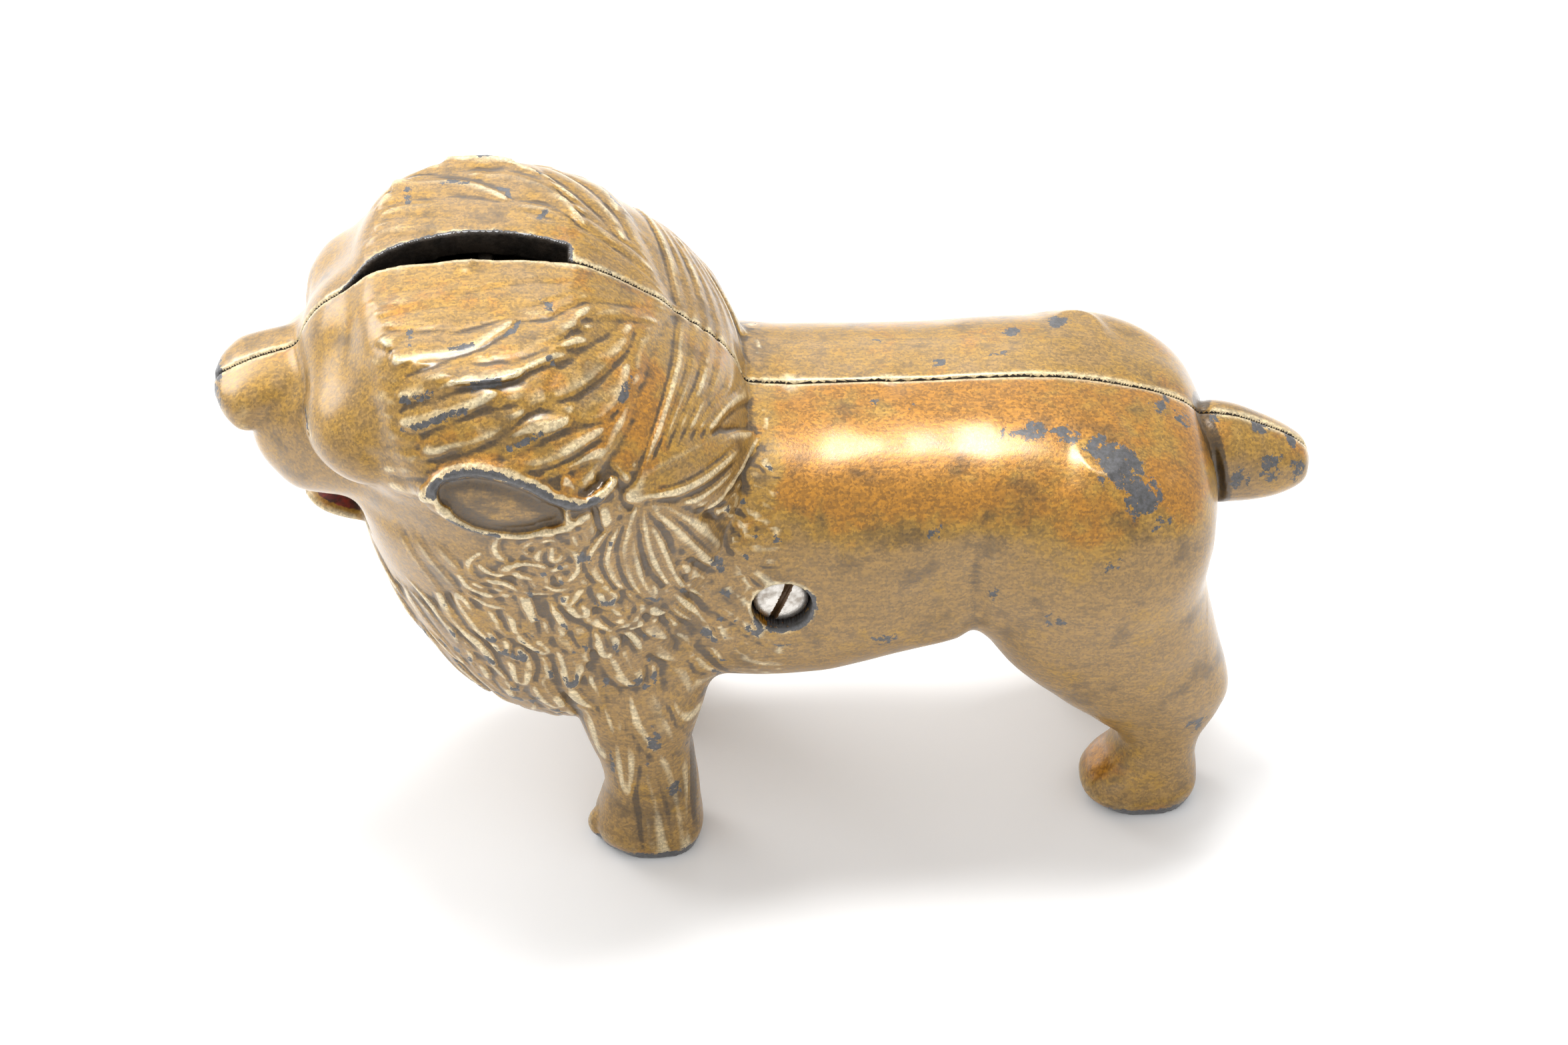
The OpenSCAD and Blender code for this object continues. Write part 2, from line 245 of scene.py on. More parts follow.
# A block of distance values that shapes are added to and carved from
class Clay:
    def __init__(self, low, high, step):
        self.low, self.step = np.array(low, float), step
        self.shape = tuple(int(round((h - l) / step)) + 1 for l, h in zip(low, high))
        self.field = np.full(self.shape, 9.0, np.float32)

    def part(self, low, high, room):
        first = [max(0, int((l - room - o) / self.step)) for l, o in zip(low, self.low)]
        last = [min(n, int((h + room - o) / self.step) + 2) for h, o, n in zip(high, self.low, self.shape)]
        axes = [o + self.step * np.arange(i, j) for i, j, o in zip(first, last, self.low)]
        return tuple(slice(i, j) for i, j in zip(first, last)), np.meshgrid(*axes, indexing="ij", sparse=True)

    # The softness of a joint is a length, or a function that gives one for each place
    def add(self, low, high, shape, soft):
        room = 3 if callable(soft) else soft
        cut, (x, y, z) = self.part(low, high, room + 2 * self.step)
        soft = soft(x, y, z) if callable(soft) else soft
        new, old = shape(x, y, z).astype(np.float32), self.field[cut]
        h = np.clip(.5 + .5 * (new - old) / soft, 0, 1)
        self.field[cut] = new * (1 - h) + old * h - soft * h * (1 - h)

    def carve(self, low, high, shape, soft):
        cut, (x, y, z) = self.part(low, high, soft + 2 * self.step)
        new, old = -shape(x, y, z).astype(np.float32), self.field[cut]
        h = np.clip(.5 - .5 * (new - old) / soft, 0, 1)
        self.field[cut] = new * (1 - h) + old * h + soft * h * (1 - h)

    def copy(self):
        other = Clay.__new__(Clay)
        other.low, other.step, other.shape, other.field = self.low, self.step, self.shape, self.field.copy()
        return other

    # One point in each cell that the surface crosses, one quad on each crossed edge
    def skin(self):
        v = self.field
        inside = v < 0
        index = np.full(tuple(n - 1 for n in self.shape), -1, np.int64)
        unit = np.eye(3, dtype=int)
        edges, cells, sums = [], [], []
        for axis in range(3):
            near, far = [slice(None)] * 3, [slice(None)] * 3
            near[axis], far[axis] = slice(0, -1), slice(1, None)
            crossed = np.argwhere(inside[tuple(near)] != inside[tuple(far)])
            rest = [c for c in range(3) if c != axis]
            kept = [(crossed[:, c] > 0) & (crossed[:, c] < self.shape[c] - 1) for c in rest]
            crossed = crossed[np.all(kept, axis=0)]
            va, vb = v[tuple(crossed.T)], v[tuple((crossed + unit[axis]).T)]
            point = crossed + unit[axis] * (va / (va - vb))[:, None]
            edges.append((axis, crossed, va < 0, unit[rest[0]], unit[rest[1]]))
            for off in (0 * unit[0], unit[rest[0]], unit[rest[1]], unit[rest[0]] + unit[rest[1]]):
                cells.append(crossed - off)
                sums.append(point)
        cells, sums = np.concatenate(cells), np.concatenate(sums)
        used, back = np.unique(np.ravel_multi_index(cells.T, index.shape), return_inverse=True)
        count = np.bincount(back)
        points = np.stack([np.bincount(back, sums[:, c]) / count for c in range(3)], 1)
        index.ravel()[used] = np.arange(len(used))
        quads = []
        for axis, crossed, outward, one, two in edges:
            q = np.stack([index[tuple((crossed - o).T)] for o in (one + two, two, 0 * one, one)], 1)
            flip = outward ^ (axis == 1)
            q[~flip] = q[~flip][:, ::-1]
            quads.append(q)
        return points * self.step + self.low, np.concatenate(quads)


# Relief of the hair: x along the animal, turn round it in degrees from the crown
reliefForm = {"cell": 0.2, "turnScale": 0.5, "centreZ": 56.0, "low": -67.0, "high": 2.0, "seed": 11}
perTurn, cell = reliefForm["turnScale"], reliefForm["cell"]
mapShape = (int((reliefForm["high"] - reliefForm["low"]) / cell) + 1, int(180 * perTurn / cell) + 1)
relief = np.zeros(mapShape)
chips = np.zeros(mapShape)
draw = np.random.default_rng(reliefForm["seed"])
mapX = reliefForm["low"] + cell * np.arange(mapShape[0])[:, None]
mapTurn = cell / perTurn * np.arange(mapShape[1])[None, :]


def smoothStep(low, high, value):
    t = np.clip((value - low) / (high - low), 0, 1)
    return t * t * (3 - 2 * t)


# Nearest place on a path of (x, turn): window, distance, share of the length, side
def nearPath(path, room):
    p = smoothRows(path, 6) * [1, perTurn]
    low, high = p.min(0) - room, p.max(0) + room
    i0, i1 = max(0, int((low[0] - reliefForm["low"]) / cell)), int((high[0] - reliefForm["low"]) / cell) + 2
    j0, j1 = max(0, int(low[1] / cell)), int(high[1] / cell) + 2
    cut = (slice(i0, min(i1, mapShape[0])), slice(j0, min(j1, mapShape[1])))
    u, v = mapX[cut[0]], mapTurn[:, cut[1]] * perTurn
    best = np.full((cut[0].stop - i0, cut[1].stop - j0), 1e9)
    share, side = np.zeros_like(best), np.zeros_like(best)
    lengths = np.linalg.norm(np.diff(p, axis=0), axis=1)
    total, done = lengths.sum(), 0
    for q0, q1, length in zip(p, p[1:], lengths):
        e = (q1 - q0) / max(length, 1e-6)
        w = np.clip((u - q0[0]) * e[0] + (v - q0[1]) * e[1], 0, length)
        du, dv = u - q0[0] - w * e[0], v - q0[1] - w * e[1]
        d = np.hypot(du, dv)
        closer = d < best
        best = np.where(closer, d, best)
        share = np.where(closer, (done + w) / total, share)
        side = np.where(closer, np.sign(e[0] * dv - e[1] * du), side)
        done += length
    return cut, best, share, side


# Leaf-shaped lock that lies over what is under it
def paintLock(path, width, height, vein=0.0, groove=0.25, blunt=0.75, skew=0.0, chip=0.0, cover=1.0):
    cut, d, t, side = nearPath(path, width + 1.5)
    w = width * (.25 + .75 * np.sin(math.pi * np.clip(t, 0, 1) ** blunt) ** .7)
    w = w * smoothStep(0, .06, 1.02 - t)
    q = d / np.maximum(w, .05)
    crown = np.clip(1 - q * q, 0, 1) ** .6 * (1 + skew * side * q)
    h = height * crown * (.55 + .45 * t) - vein * np.exp(-(d / .3) ** 2) * smoothStep(0, .15, t)
    m = 1 - smoothStep(.8, 1.12, q)
    old = relief[cut]
    relief[cut] = old * (1 - m * cover) + h * m - groove * np.exp(-((q - 1.15) / .22) ** 2) * (w > .3)
    if chip:
        spot = .66 * smoothStep(1 - chip, 1 - .3 * chip, t) * (1 - smoothStep(.2, 1.1, q))
        chips[cut] = np.maximum(chips[cut] * (1 - m), spot)


# Narrow raised line or, with a height below zero, a scratch
def paintLine(path, width, height, fade=0.12):
    cut, d, t, side = nearPath(path, 3 * width)
    ends = smoothStep(0, fade, t) * smoothStep(0, fade, 1 - t)
    relief[cut] += height * np.exp(-(d / width) ** 2) * ends


def paintChip(path, width, value=.62):
    cut, d, t, side = nearPath(path, width + 1)
    chips[cut] = np.maximum(chips[cut], value * (1 - smoothStep(.2 * width, 1.9 * width, d)))


def capRear(turn):
    return np.interp(turn, [0, 21, 36, 49, 57, 66, 70], [-12.5, -15, -17, -19, -22, -25, -27])


# Which way the hair falls, in degrees from straight down towards the tail
def hairFall(x, turn):
    side = np.interp(x, [-50, -40, -31, -22, -12, -3], [20, 24, 8, 10, 18, 34])
    return side + np.interp(turn, [100, 145], [0, 14])


def strandPath(x, turn, long, bow):
    path = [(x, turn)]
    for k in range(3):
        a = math.radians(hairFall(x, turn) + bow * (k - 1))
        x, turn = x + math.sin(a) * long / 3, turn + math.cos(a) * long / 3 / perTurn
        path.append((x, turn))
    return path


def paintHair():
    # Chest and neck: tufts in rows, the lowest first, so that each row lies over the next
    for row, turn in enumerate(np.arange(156, 70, -5)):
        for x in np.arange(-49 + (row % 3) * .9, -1.5, 2.5):
            px, pt = x + draw.uniform(-1.2, 1.2), turn - 12 + draw.uniform(-3, 3)
            big = draw.random() < .2
            long = draw.uniform(10, 14) if big else draw.uniform(6.5, 12)
            bow, wide = draw.uniform(-24, 24), draw.uniform(1.9, 2.6) if big else draw.uniform(.75, 1.35)
            tall, chip = draw.uniform(.34, .56) + .2 * big, draw.choice([0, 0, 0, .22, .34])
            if px > -3 or px < np.interp(pt, [70, 88, 100, 112], [-30, -34, -38, -50]):
                continue
            path = strandPath(px, pt, long, bow)
            paintLock(path, wide, tall, vein=.24 * big + .1, groove=.2, blunt=1.1, chip=chip, cover=.85)
            if big:
                for off in (-.55, .55):
                    paintLine([(a + off * wide, b + 2) for a, b in path[:3]], .3, -.2)
    # Neck under the ear: short curls that cross the tufts
    for k in range(30):
        cx, ct = draw.uniform(-36, -16), draw.uniform(78, 108)
        r, a0, sweep = draw.uniform(2.2, 5.2), draw.uniform(0, 360), draw.uniform(60, 130)
        arc = [math.radians(a0 + sweep * s) for s in (0, .33, .66, 1)]
        path = [(cx + r * math.cos(a), ct + 2 * r * math.sin(a)) for a in arc]
        paintLock(path, draw.uniform(.55, .9), draw.uniform(.3, .5), groove=.16, cover=.7)
    # Cheek: fine lines that fan down from behind the mouth to the chest
    for k in range(6):
        s = (k + draw.uniform(-.3, .3)) / 5
        path = [(-47 + 4 * s, 70 + 4 * s), (-45.5 + 6.5 * s, 84 + 2 * s), (-42.5 + 9 * s, 100 + 3 * s),
                (-39.5 + 10.5 * s, 118 + 3 * s)]
        paintLine(path, .55, -.15 if k % 2 else .1, fade=.3)
    # Collar behind the cap, in arcs from the parting line down to the ear
    for k, x in enumerate(np.arange(-10.6, -1.8, 1.55)):
        s = k / 5
        path = [(x, -4), (x - .4, 14), (x - 1.6, 34), (x - 4.4 - 1.6 * s, 52), (-19 + 6 * s, 66 + 3 * s)]
        paintLock(path, .95, .6, groove=.3, blunt=.5, cover=.8)
    for k in range(10):
        x, turn = draw.uniform(-11, -3.5), draw.uniform(4, 40)
        paintLine([(x, turn), (x - .4, turn + 5), (x - 1.3, turn + 11)], .35, draw.choice([-.16, .16]))
    # Big leaf behind the ear, up to the mane's rear edge
    paintLock([(-18, 65), (-13, 65), (-8, 62), (-3.2, 55)], 5.6, .75, groove=.35, blunt=.8, skew=.15)
    for off in np.linspace(-3.6, 3.4, 7):
        path = [(-17.5, 66 + off), (-12.5, 66 + 1.9 * off), (-8, 63.5 + 2.3 * off), (-4.4, 59 + 2.3 * off)]
        paintLine(path, .42, draw.choice([-.3, -.22, .24]), fade=.25)
    paintLine([(-1.6, 34), (-1.4, 46), (-2.2, 58), (-4.6, 68), (-9, 75), (-14, 77), (-17, 75)], .62, .75)
    # Feathered tufts that hang from behind the ear
    tufts = [
        ([(-20, 72), (-22.4, 80), (-23, 88), (-21.8, 96)], 1.1, 0),
        ([(-18.8, 70), (-20.4, 80), (-20.8, 90), (-19.6, 99)], 1.15, 0),
        ([(-17.8, 68), (-18.6, 82), (-18, 96), (-15.6, 108)], 1.35, .25),
        ([(-16.8, 68), (-15.8, 82), (-14.2, 97), (-11.6, 111)], 1.5, .3),
        ([(-16, 68), (-12.6, 76), (-9.8, 90), (-7.4, 107)], 2.3, .3),
        ([(-14.6, 102), (-13, 113), (-10.8, 123), (-8.2, 131)], 1.35, .35),
        ([(-11.8, 104), (-9.8, 113), (-7.6, 120), (-5, 125)], 1.25, .4),
    ]
    for path, width, chip in tufts:
        paintLock(path, width, .72, vein=.3, groove=.3, blunt=.85, chip=chip)
        for off in (-.55, -.25, .25, .55):
            paintLine([(a + off * width, b + 3) for a, b in path], .26, -.22, fade=.3)
    # Cap of hair: long waves from the brow to the rear, each a shingle with its crest below
    for k, turn in enumerate(np.arange(61, 9, -4.4)):
        x = -47 + draw.uniform(-1.5, 1.5)
        while x < -17:
            long = draw.uniform(9, 18)
            rise = np.interp(x, [-46, -30, -18], [2, 8, 18]) * draw.uniform(.8, 1.15)
            sway = draw.uniform(-2.2, 2.2)
            t0 = turn - np.interp(x, [-46, -30, -18], [0, 3, 12])
            path = [(x, t0), (x + long * .4, t0 - rise * .3 + sway), (x + long, t0 - rise)]
            if min(x + long, -13) < capRear(t0) + 2 and t0 > 4:
                paintLock(path, draw.uniform(1.3, 2.1), draw.uniform(.25, .45), groove=.13, blunt=.7,
                          skew=.5, cover=.65)
            x += long * draw.uniform(.7, .95)
    waves = [
        ([(-45, 34), (-42, 30.5), (-36, 29.5), (-31, 24)], .6),
        ([(-44.5, 41), (-41, 40), (-37, 39), (-30, 38)], .7),
        ([(-44.5, 47), (-41, 46), (-37, 44), (-33, 42)], .7),
        ([(-37, 54), (-31, 51), (-25, 48)], .6),
        ([(-27, 43), (-23, 37), (-19.4, 29), (-17.4, 20)], .42),
        ([(-24, 48), (-20.4, 43), (-18, 34)], .42),
        ([(-42, 53), (-36, 50), (-30, 46)], .5),
        ([(-34, 33), (-27, 28), (-22, 18)], .45),
        ([(-40, 57), (-33, 56), (-26, 54), (-21, 50)], .45),
    ]
    for path, tall in waves:
        paintLock([(a, b - 1.2) for a, b in path], 1.7, tall, groove=.26, blunt=.65, skew=.6, cover=.8)
    for path in ([(-44, 41.5), (-40.5, 40.6)], [(-36, 39.8), (-33, 39)], [(-44, 47.5), (-37, 44.8)],
                 [(-32, 52), (-28, 50)], [(-27.5, 16), (-26.5, 19)], [(-38, 30.5), (-36, 30)],
                 [(-32, 28), (-30.5, 24)], [(-43, 24), (-43, 29)], [(-27, 34), (-26.6, 35)],
                 [(-19, 43), (-17.6, 37)]):
        paintChip(path, .5)
    for k in range(60):
        x, turn = draw.uniform(-45, -17), draw.uniform(5, 60)
        slope = np.interp(x, [-46, -30, -18], [-.4, -.7, -1.6])
        path = [(x, turn), (x + 2.5, turn + 2.5 * slope), (x + 5, turn + 5.4 * slope)]
        paintLine(path, .36, draw.choice([-.13, -.1, .12]))
    # The cap stands above the collar, and its lower edge above the ear
    calm = smoothStep(15, 6, mapTurn) * smoothStep(-12, -22, mapX)
    relief[:] *= (1 - .4 * calm) * (1 - calm * smoothStep(8, 3, mapTurn))
    chips[:] *= 1 - calm
    inside = smoothStep(1.1, -.5, mapX - capRear(mapTurn)) * smoothStep(69, 61, mapTurn)
    relief[:] += .8 * inside * smoothStep(-51, -44.5, mapX + .04 * (mapTurn - 30))
    # Ear: bowl, thick upper rim, thin lower rim
    upper = [(-41.3, 60), (-40, 57.6), (-37, 56.2), (-33.5, 57), (-30, 59.6), (-27, 63.2), (-24, 64.8),
             (-22, 63.6), (-20.4, 61)]
    lower = [(-41, 63), (-39.2, 68), (-35.5, 72.5), (-31, 74), (-26, 71.5), (-22.5, 66.5)]
    bowl = [(-38.8, 61.6), (-36, 63.4), (-32.5, 65.6), (-28, 67.8)]
    cut, d, t, side = nearPath(bowl, 5)
    dish = 1 - smoothStep(.75, 1.1, d / (.6 + 3.9 * np.sin(math.pi * np.clip(.08 + .84 * t, 0, 1)) ** .8))
    relief[cut] = relief[cut] * (1 - dish) - .75 * dish
    chips[cut] *= 1 - dish
    cut, d, t, side = nearPath(upper, 4)
    strip = 1 - smoothStep(.5, 1.2, d / (.3 + .72 * np.sin(math.pi * np.clip(.06 + .9 * t, 0, 1)) ** .6))
    relief[cut] = relief[cut] * (1 - strip) + 1.35 * strip
    chips[cut] *= 1 - strip
    paintChip([(a, b + .9) for a, b in upper[:-1]], .62, .66)
    paintLine(lower, .5, .6)
    paintChip([(-39.6, 68.4), (-37.4, 71.6), (-34, 74)], .36)


# Running average, to tell a crest from a slope
def soften(values, times):
    for k in range(times):
        padded = np.pad(values, 1, mode="edge")
        values = (padded[:-2, 1:-1] + padded[2:, 1:-1] + padded[1:-1, :-2] + padded[1:-1, 2:]) / 4
    return values


paintHair()
hairZone = smoothStep(.4, -1, mapX) * smoothStep(166, 158, mapTurn)
face = smoothStep(-52, -47, mapX) + smoothStep(96, 104, mapTurn)
relief *= hairZone * np.clip(face, 0, 1) * np.interp(mapTurn, [0, 25, 50, 66], [.4, .52, .68, 1])
relief = soften(relief, 2)
print("stage: hair relief", relief.min().round(2), relief.max().round(2))


def readMap(values, x, y, z):
    turn = np.degrees(np.arctan2(np.abs(y), z - reliefForm["centreZ"]))
    a = np.clip((x - reliefForm["low"]) / cell, 0, mapShape[0] - 1.001)
    b = np.clip(turn * perTurn / cell, 0, mapShape[1] - 1.001)
    a, b = np.broadcast_arrays(a, b)
    i, j = a.astype(int), b.astype(int)
    u, v = a - i, b - j
    near = values[i, j] * (1 - v) + values[i, j + 1] * v
    far = values[i + 1, j] * (1 - v) + values[i + 1, j + 1] * v
    return (near * (1 - u) + far * u) * (x < reliefForm["high"]) * (x > reliefForm["low"])


# A field's values turned to true distances near its surface
def evenField(d, spacing):
    steep = np.sqrt(sum(g * g for g in np.gradient(d, spacing)))
    return d / np.clip(steep, 1, 8)


# Slow waviness of the cast surface, from -1 to 1
def waviness(x, y, z, size, seed):
    grid = np.random.default_rng(seed).uniform(-1, 1, (40, 40, 40))
    places = [(q + o) / size for q, o in ((x, 80), (y, 20), (z, 10))]
    whole = [p.astype(int) % 39 for p in places]
    part = [smoothStep(0, 1, p - np.floor(p)) for p in places]
    total = 0
    for corner in range(8):
        on = [corner & 1, corner >> 1 & 1, corner >> 2 & 1]
        weight = 1
        for p, o in zip(part, on):
            weight = weight * (p if o else 1 - p)
        total = total + weight * grid[whole[0] + on[0], whole[1] + on[1], whole[2] + on[2]]
    return total


def maneField(x, y, z):
    d = evenField(loftField(z, x, y, maneRows), (x[1] - x[0]).item())
    ear = ovalField(x, y, z, (noseX + 35, mane - 1.4, crownZ - 14.5), (10.4, 2.4, 5.4), -8)
    h = np.clip(.5 + .5 * (ear - d) / 1.4, 0, 1)
    d = ear * (1 - h) + d * h - 1.4 * h * (1 - h)
    room = smoothStep(4.4, 6.4, np.hypot(x - screwX, z - screwZ))
    return d - readMap(relief, x, y, z) * room


def toeField(x, y, z, centre, reach):
    best = 9.0
    for angle, far in ((-28, 1.0), (4, 1.06), (36, 1.0), (70, .86)):
        a = math.radians(angle)
        place = (centre[0] - reach * far * math.cos(a), centre[1] + reach * .62 * far * math.sin(a), 2.3)
        best = np.minimum(best, ovalField(x, y, z, place, (2.6, 1.8, 2.7)))
    return best


# Soft fold ahead of the thigh, from 0 to 1
def thighFold(x, z):
    line = np.interp(z, [28, 36, 50, 60], [23.4, 23.2, 23, 22.4])
    return smoothStep(2.2, 0, np.abs(x - line)) * smoothStep(58, 49, z) * smoothStep(27, 33, z)


# Crevice beside the tail, crease under the brow, crease at the temple, notch of the nose: (x, y, z, radius)
cleftPath = [(52.6, 0, 55, .4), (53, 2.6, 54.4, .5), (53.6, 4.8, 52.4, .6), (54, 5.6, 49.4, .75),
             (54.4, 5.6, 46, .85), (54.6, 4.6, 42.6, .7), (54.4, 2, 40.5, .5)]
browPath = [(-56.7, 7.5, 72.4, .15), (-56.4, 11, 71, .45), (-55.4, 13.5, 70.4, .45), (-54, 16, 69.6, .1)]
templePath = [(-49.5, 14.6, 80.8, .1), (-48.6, 18.6, 78.4, .5), (-47.4, 23, 74.4, .5), (-45.6, 26, 69, .4),
              (-43.6, 27, 64, .1)]
notchPath = [(noseX - .5, 0, 69, .4), (noseX - .6, 0, 66, .7), (noseX - .2, 0, 61, .4)]
# Rounded lumps and hollows: centre, radii
haunchOval = (38.6, 12.8, 44), (13.6, 8.6, 12)
waistOval = (19, 34.6, 42), (11, 15.2, 17)
dishOval = (screwX, barrel + 4.55, screwZ), (8, 5, 8)
foreheadOval = (noseX + 18, 0, 70.4), (8.4, 12, 9.2)
browOval = (noseX + 19, 11.2, 69.8), (8.6, 10.4, 6.6)
jawOval = (noseX + 19, 0, 49.1), (10, 7, 1.6)
mouthOval = (noseX + 14.5, 0, 52.7), (7.5, 14, 2.1)


# The brow's join is crisp at its lower front edge and soft elsewhere
def browEdge(x, y, z):
    return .6 + 2.4 * np.maximum(smoothStep(70.5, 73.5, z), smoothStep(-49, -44.5, x)) + 0 * y


def buildSide(step):
    clay = Clay((noseX - 3, -1.2, -1.2), (tailX + 3, 32, crownZ + 2.4), step)
    half = (noseX, -2, 0), (tailX, 32, crownZ)
    clay.add((-32, -2, 24), (56, 21, 63), lambda x, y, z: loftField(x, z, y, barrelRows), .5)
    hindX, hindY = tailX + lionForm["hindPaw"][0], lionForm["hindPaw"][1]
    clay.add((hindX - 26, hindY - 12, 0), (hindX + 11, hindY + 12, 59),
             lambda x, y, z: loftField(z, x - hindX, y - hindY, hindLegRows), 3.0)
    clay.add((tailX - 22, -2, 40), (tailX, 6, 57), lambda x, y, z: loftField(x, z, y, tailRows), .6)
    frontX, frontY = noseX + lionForm["frontPaw"][0], lionForm["frontPaw"][1]
    clay.add((frontX - 14, frontY - 9, 0), (frontX + 10, frontY + 9, 38),
             lambda x, y, z: loftField(z, x - frontX, y - frontY, frontLegRows), 2.5)
    for centre, reach in (((frontX, frontY), 6.3), ((hindX, hindY), 5.8)):
        clay.add((centre[0] - 12, centre[1] - 9, 0), (centre[0] + 6, centre[1] + 9, 6),
                 lambda x, y, z: toeField(x, y, z, centre, reach), .5)
    # Swell of the haunch, waist, fold ahead of the thigh, cleft beside the tail
    clay.add((26, 4, 30), (54, 23, 60), lambda x, y, z: ovalField(x, y, z, *haunchOval), 2)
    clay.carve((8, 8, 28), (34, 28, 62), lambda x, y, z: ovalField(x, y, z, *waistOval), 3)
    cut, (x, y, z) = clay.part((16, 8, 26), (30, 26, 62), 1)
    clay.field[cut] += (.5 * thighFold(x, z)).astype(np.float32)
    clay.carve((48, -2, 36), (62, 11, 60), lambda x, y, z: stripField(x, y, z, cleftPath), .25)
    clay.add((-58, -2, 17), (0, 31, 84), maneField, .5)
    clay.carve((screwX - 8, 18, screwZ - 8), (screwX + 8, 26, screwZ + 8),
               lambda x, y, z: ovalField(x, y, z, *dishOval), .5)
    # Face: muzzle, forehead, brow, nose, creases, lower jaw, mouth, notch at the parting line
    clay.add((noseX + 3, -2, 42), (noseX + 34, 27, 78), lambda x, y, z: loftField(x, z, y, muzzleRows), 3.0)
    clay.add((noseX + 8, -2, 60), (noseX + 28, 12, 81), lambda x, y, z: ovalField(x, y, z, *foreheadOval), 2)
    clay.add((noseX + 8, 2, 58), (noseX + 28, 24, 81),
             lambda x, y, z: ovalField(x, y, z, *browOval), browEdge)
    clay.add((noseX - 1, -2, 60), (noseX + 15, 8, 75), lambda x, y, z: loftField(x, z, y, noseRows), .7)
    clay.carve((-61, 4, 58), (-40, 28, 78), lambda x, y, z: stripField(x, y, z, browPath), .5)
    clay.carve((-54, 10, 62), (-40, 32, 84), lambda x, y, z: stripField(x, y, z, templePath), 2.4)
    clay.add((noseX + 6, -2, 44), (noseX + 30, 9, 51), lambda x, y, z: ovalField(x, y, z, *jawOval), .8)
    clay.carve((noseX + 3, -2, 49), (noseX + 22, 14, 58), lambda x, y, z: ovalField(x, y, z, *mouthOval), .4)
    clay.carve((noseX - 2, -2, 62), (noseX + 3, 1, 69), lambda x, y, z: stripField(x, y, z, notchPath), .4)
    cut, (x, y, z) = clay.part(*half, 1)
    wavy = .2 * waviness(x, y, z, 8.5, 3) + .07 * waviness(x, y, z, 3.4, 5)
    clay.field[cut] += (wavy * smoothStep(2, 8, z)).astype(np.float32)
    print("stage: clay", clay.shape)
    return clay


def cylinderY(x, y, z, radius, low, high):
    return np.maximum(np.hypot(x - screwX, z - screwZ) - radius, np.maximum(low - y, y - high))


# Coin slot: an arc in plan, cut square at its rear end
slotForm = {"start": 15, "end": 42.2, "depth": 12, "arcX": 31.72, "arcY": -22.2, "arcRadius": 27.2}


def slotField(x, y, z):
    arc = np.hypot(x - noseX - slotForm["arcX"], y - slotForm["arcY"]) - slotForm["arcRadius"]
    ends = np.maximum(x - noseX - slotForm["end"], noseX + slotForm["start"] - x)
    return np.maximum(np.maximum(arc, ends), crownZ - slotForm["depth"] - z)


def cavityField(x, y, z):
    wall = lionForm["wall"]
    inner = loftField(x, z, y, drawnIn(barrelRows, wall))
    return np.minimum(inner, loftField(z, x, y, drawnIn(maneRows, wall)))


# Small rib that hangs from the crown beside the slot, its top following the crown behind the slot
ribForm = {"place": -34, "halfThick": 0.9, "near": 2.2, "far": 11, "bottom": 66, "top": 78.6, "crown": 81}


def ribField(x, y, z):
    top = np.where(y > 5.8, ribForm["crown"] - y * y / 58, ribForm["top"])
    sides = np.maximum(ribForm["near"] - y, y - ribForm["far"])
    thick = np.abs(x - ribForm["place"]) - ribForm["halfThick"]
    return np.maximum(np.maximum(thick, sides), np.maximum(ribForm["bottom"] - z, z - top))


boreForm = {"clearance": 2.0, "tapped": 1.81, "tappedDepth": 14, "recess": 3.65, "recessDepth": 3.4}


def castSide(clay, left):
    everything = (noseX, -2, 0), (tailX, 32, crownZ)
    recess = barrel - boreForm["recessDepth"]
    clay.carve((-54, -2, 20), (56, 26, crownZ), cavityField, .8)
    clay.add((screwX - 6, -1, screwZ - 6), (screwX + 6, barrel - 1, screwZ + 6),
             lambda x, y, z: cylinderY(x, y, z, lionForm["post"], -2, barrel - 1), .8)
    if left:
        clay.carve((screwX - 4, -1, screwZ - 4), (screwX + 4, 32, screwZ + 4),
                   lambda x, y, z: cylinderY(x, y, z, boreForm["clearance"], -3, 40), .15)
        clay.carve((screwX - 5, recess, screwZ - 5), (screwX + 5, 32, screwZ + 5),
                   lambda x, y, z: cylinderY(x, y, z, boreForm["recess"], recess, 40), .22)
    else:
        clay.carve((screwX - 4, -1, screwZ - 4), (screwX + 4, 15, screwZ + 4),
                   lambda x, y, z: cylinderY(x, y, z, boreForm["tapped"], -3, boreForm["tappedDepth"]), .15)
        clay.carve((noseX + 14, -2, crownZ - 13), (noseX + 44, 8, crownZ), slotField, .3)
        clay.add((-36, 0, 65), (-32, 12, crownZ), ribField, .4)
    gap = lionForm["seamGap"]
    clay.carve(*everything, lambda x, y, z: y - gap + 0 * x + 0 * z, lionForm["seamRound"])
    cut, (x, y, z) = clay.part(*everything, 3)
    clay.field[cut] = np.maximum(clay.field[cut], -z)
    return clay.skin()


def meshFrom(name, points, faces):
    mesh = bpy.data.meshes.new(name)
    mesh.vertices.add(len(points))
    mesh.vertices.foreach_set("co", (points * mm).astype(np.float32).ravel())
    mesh.loops.add(faces.size)
    mesh.loops.foreach_set("vertex_index", faces.ravel().astype(np.int32))
    mesh.polygons.add(len(faces))
    mesh.polygons.foreach_set("loop_start", np.arange(0, faces.size, faces.shape[1], dtype=np.int32))
    mesh.update(calc_edges=True)
    mesh.validate()
    return mesh


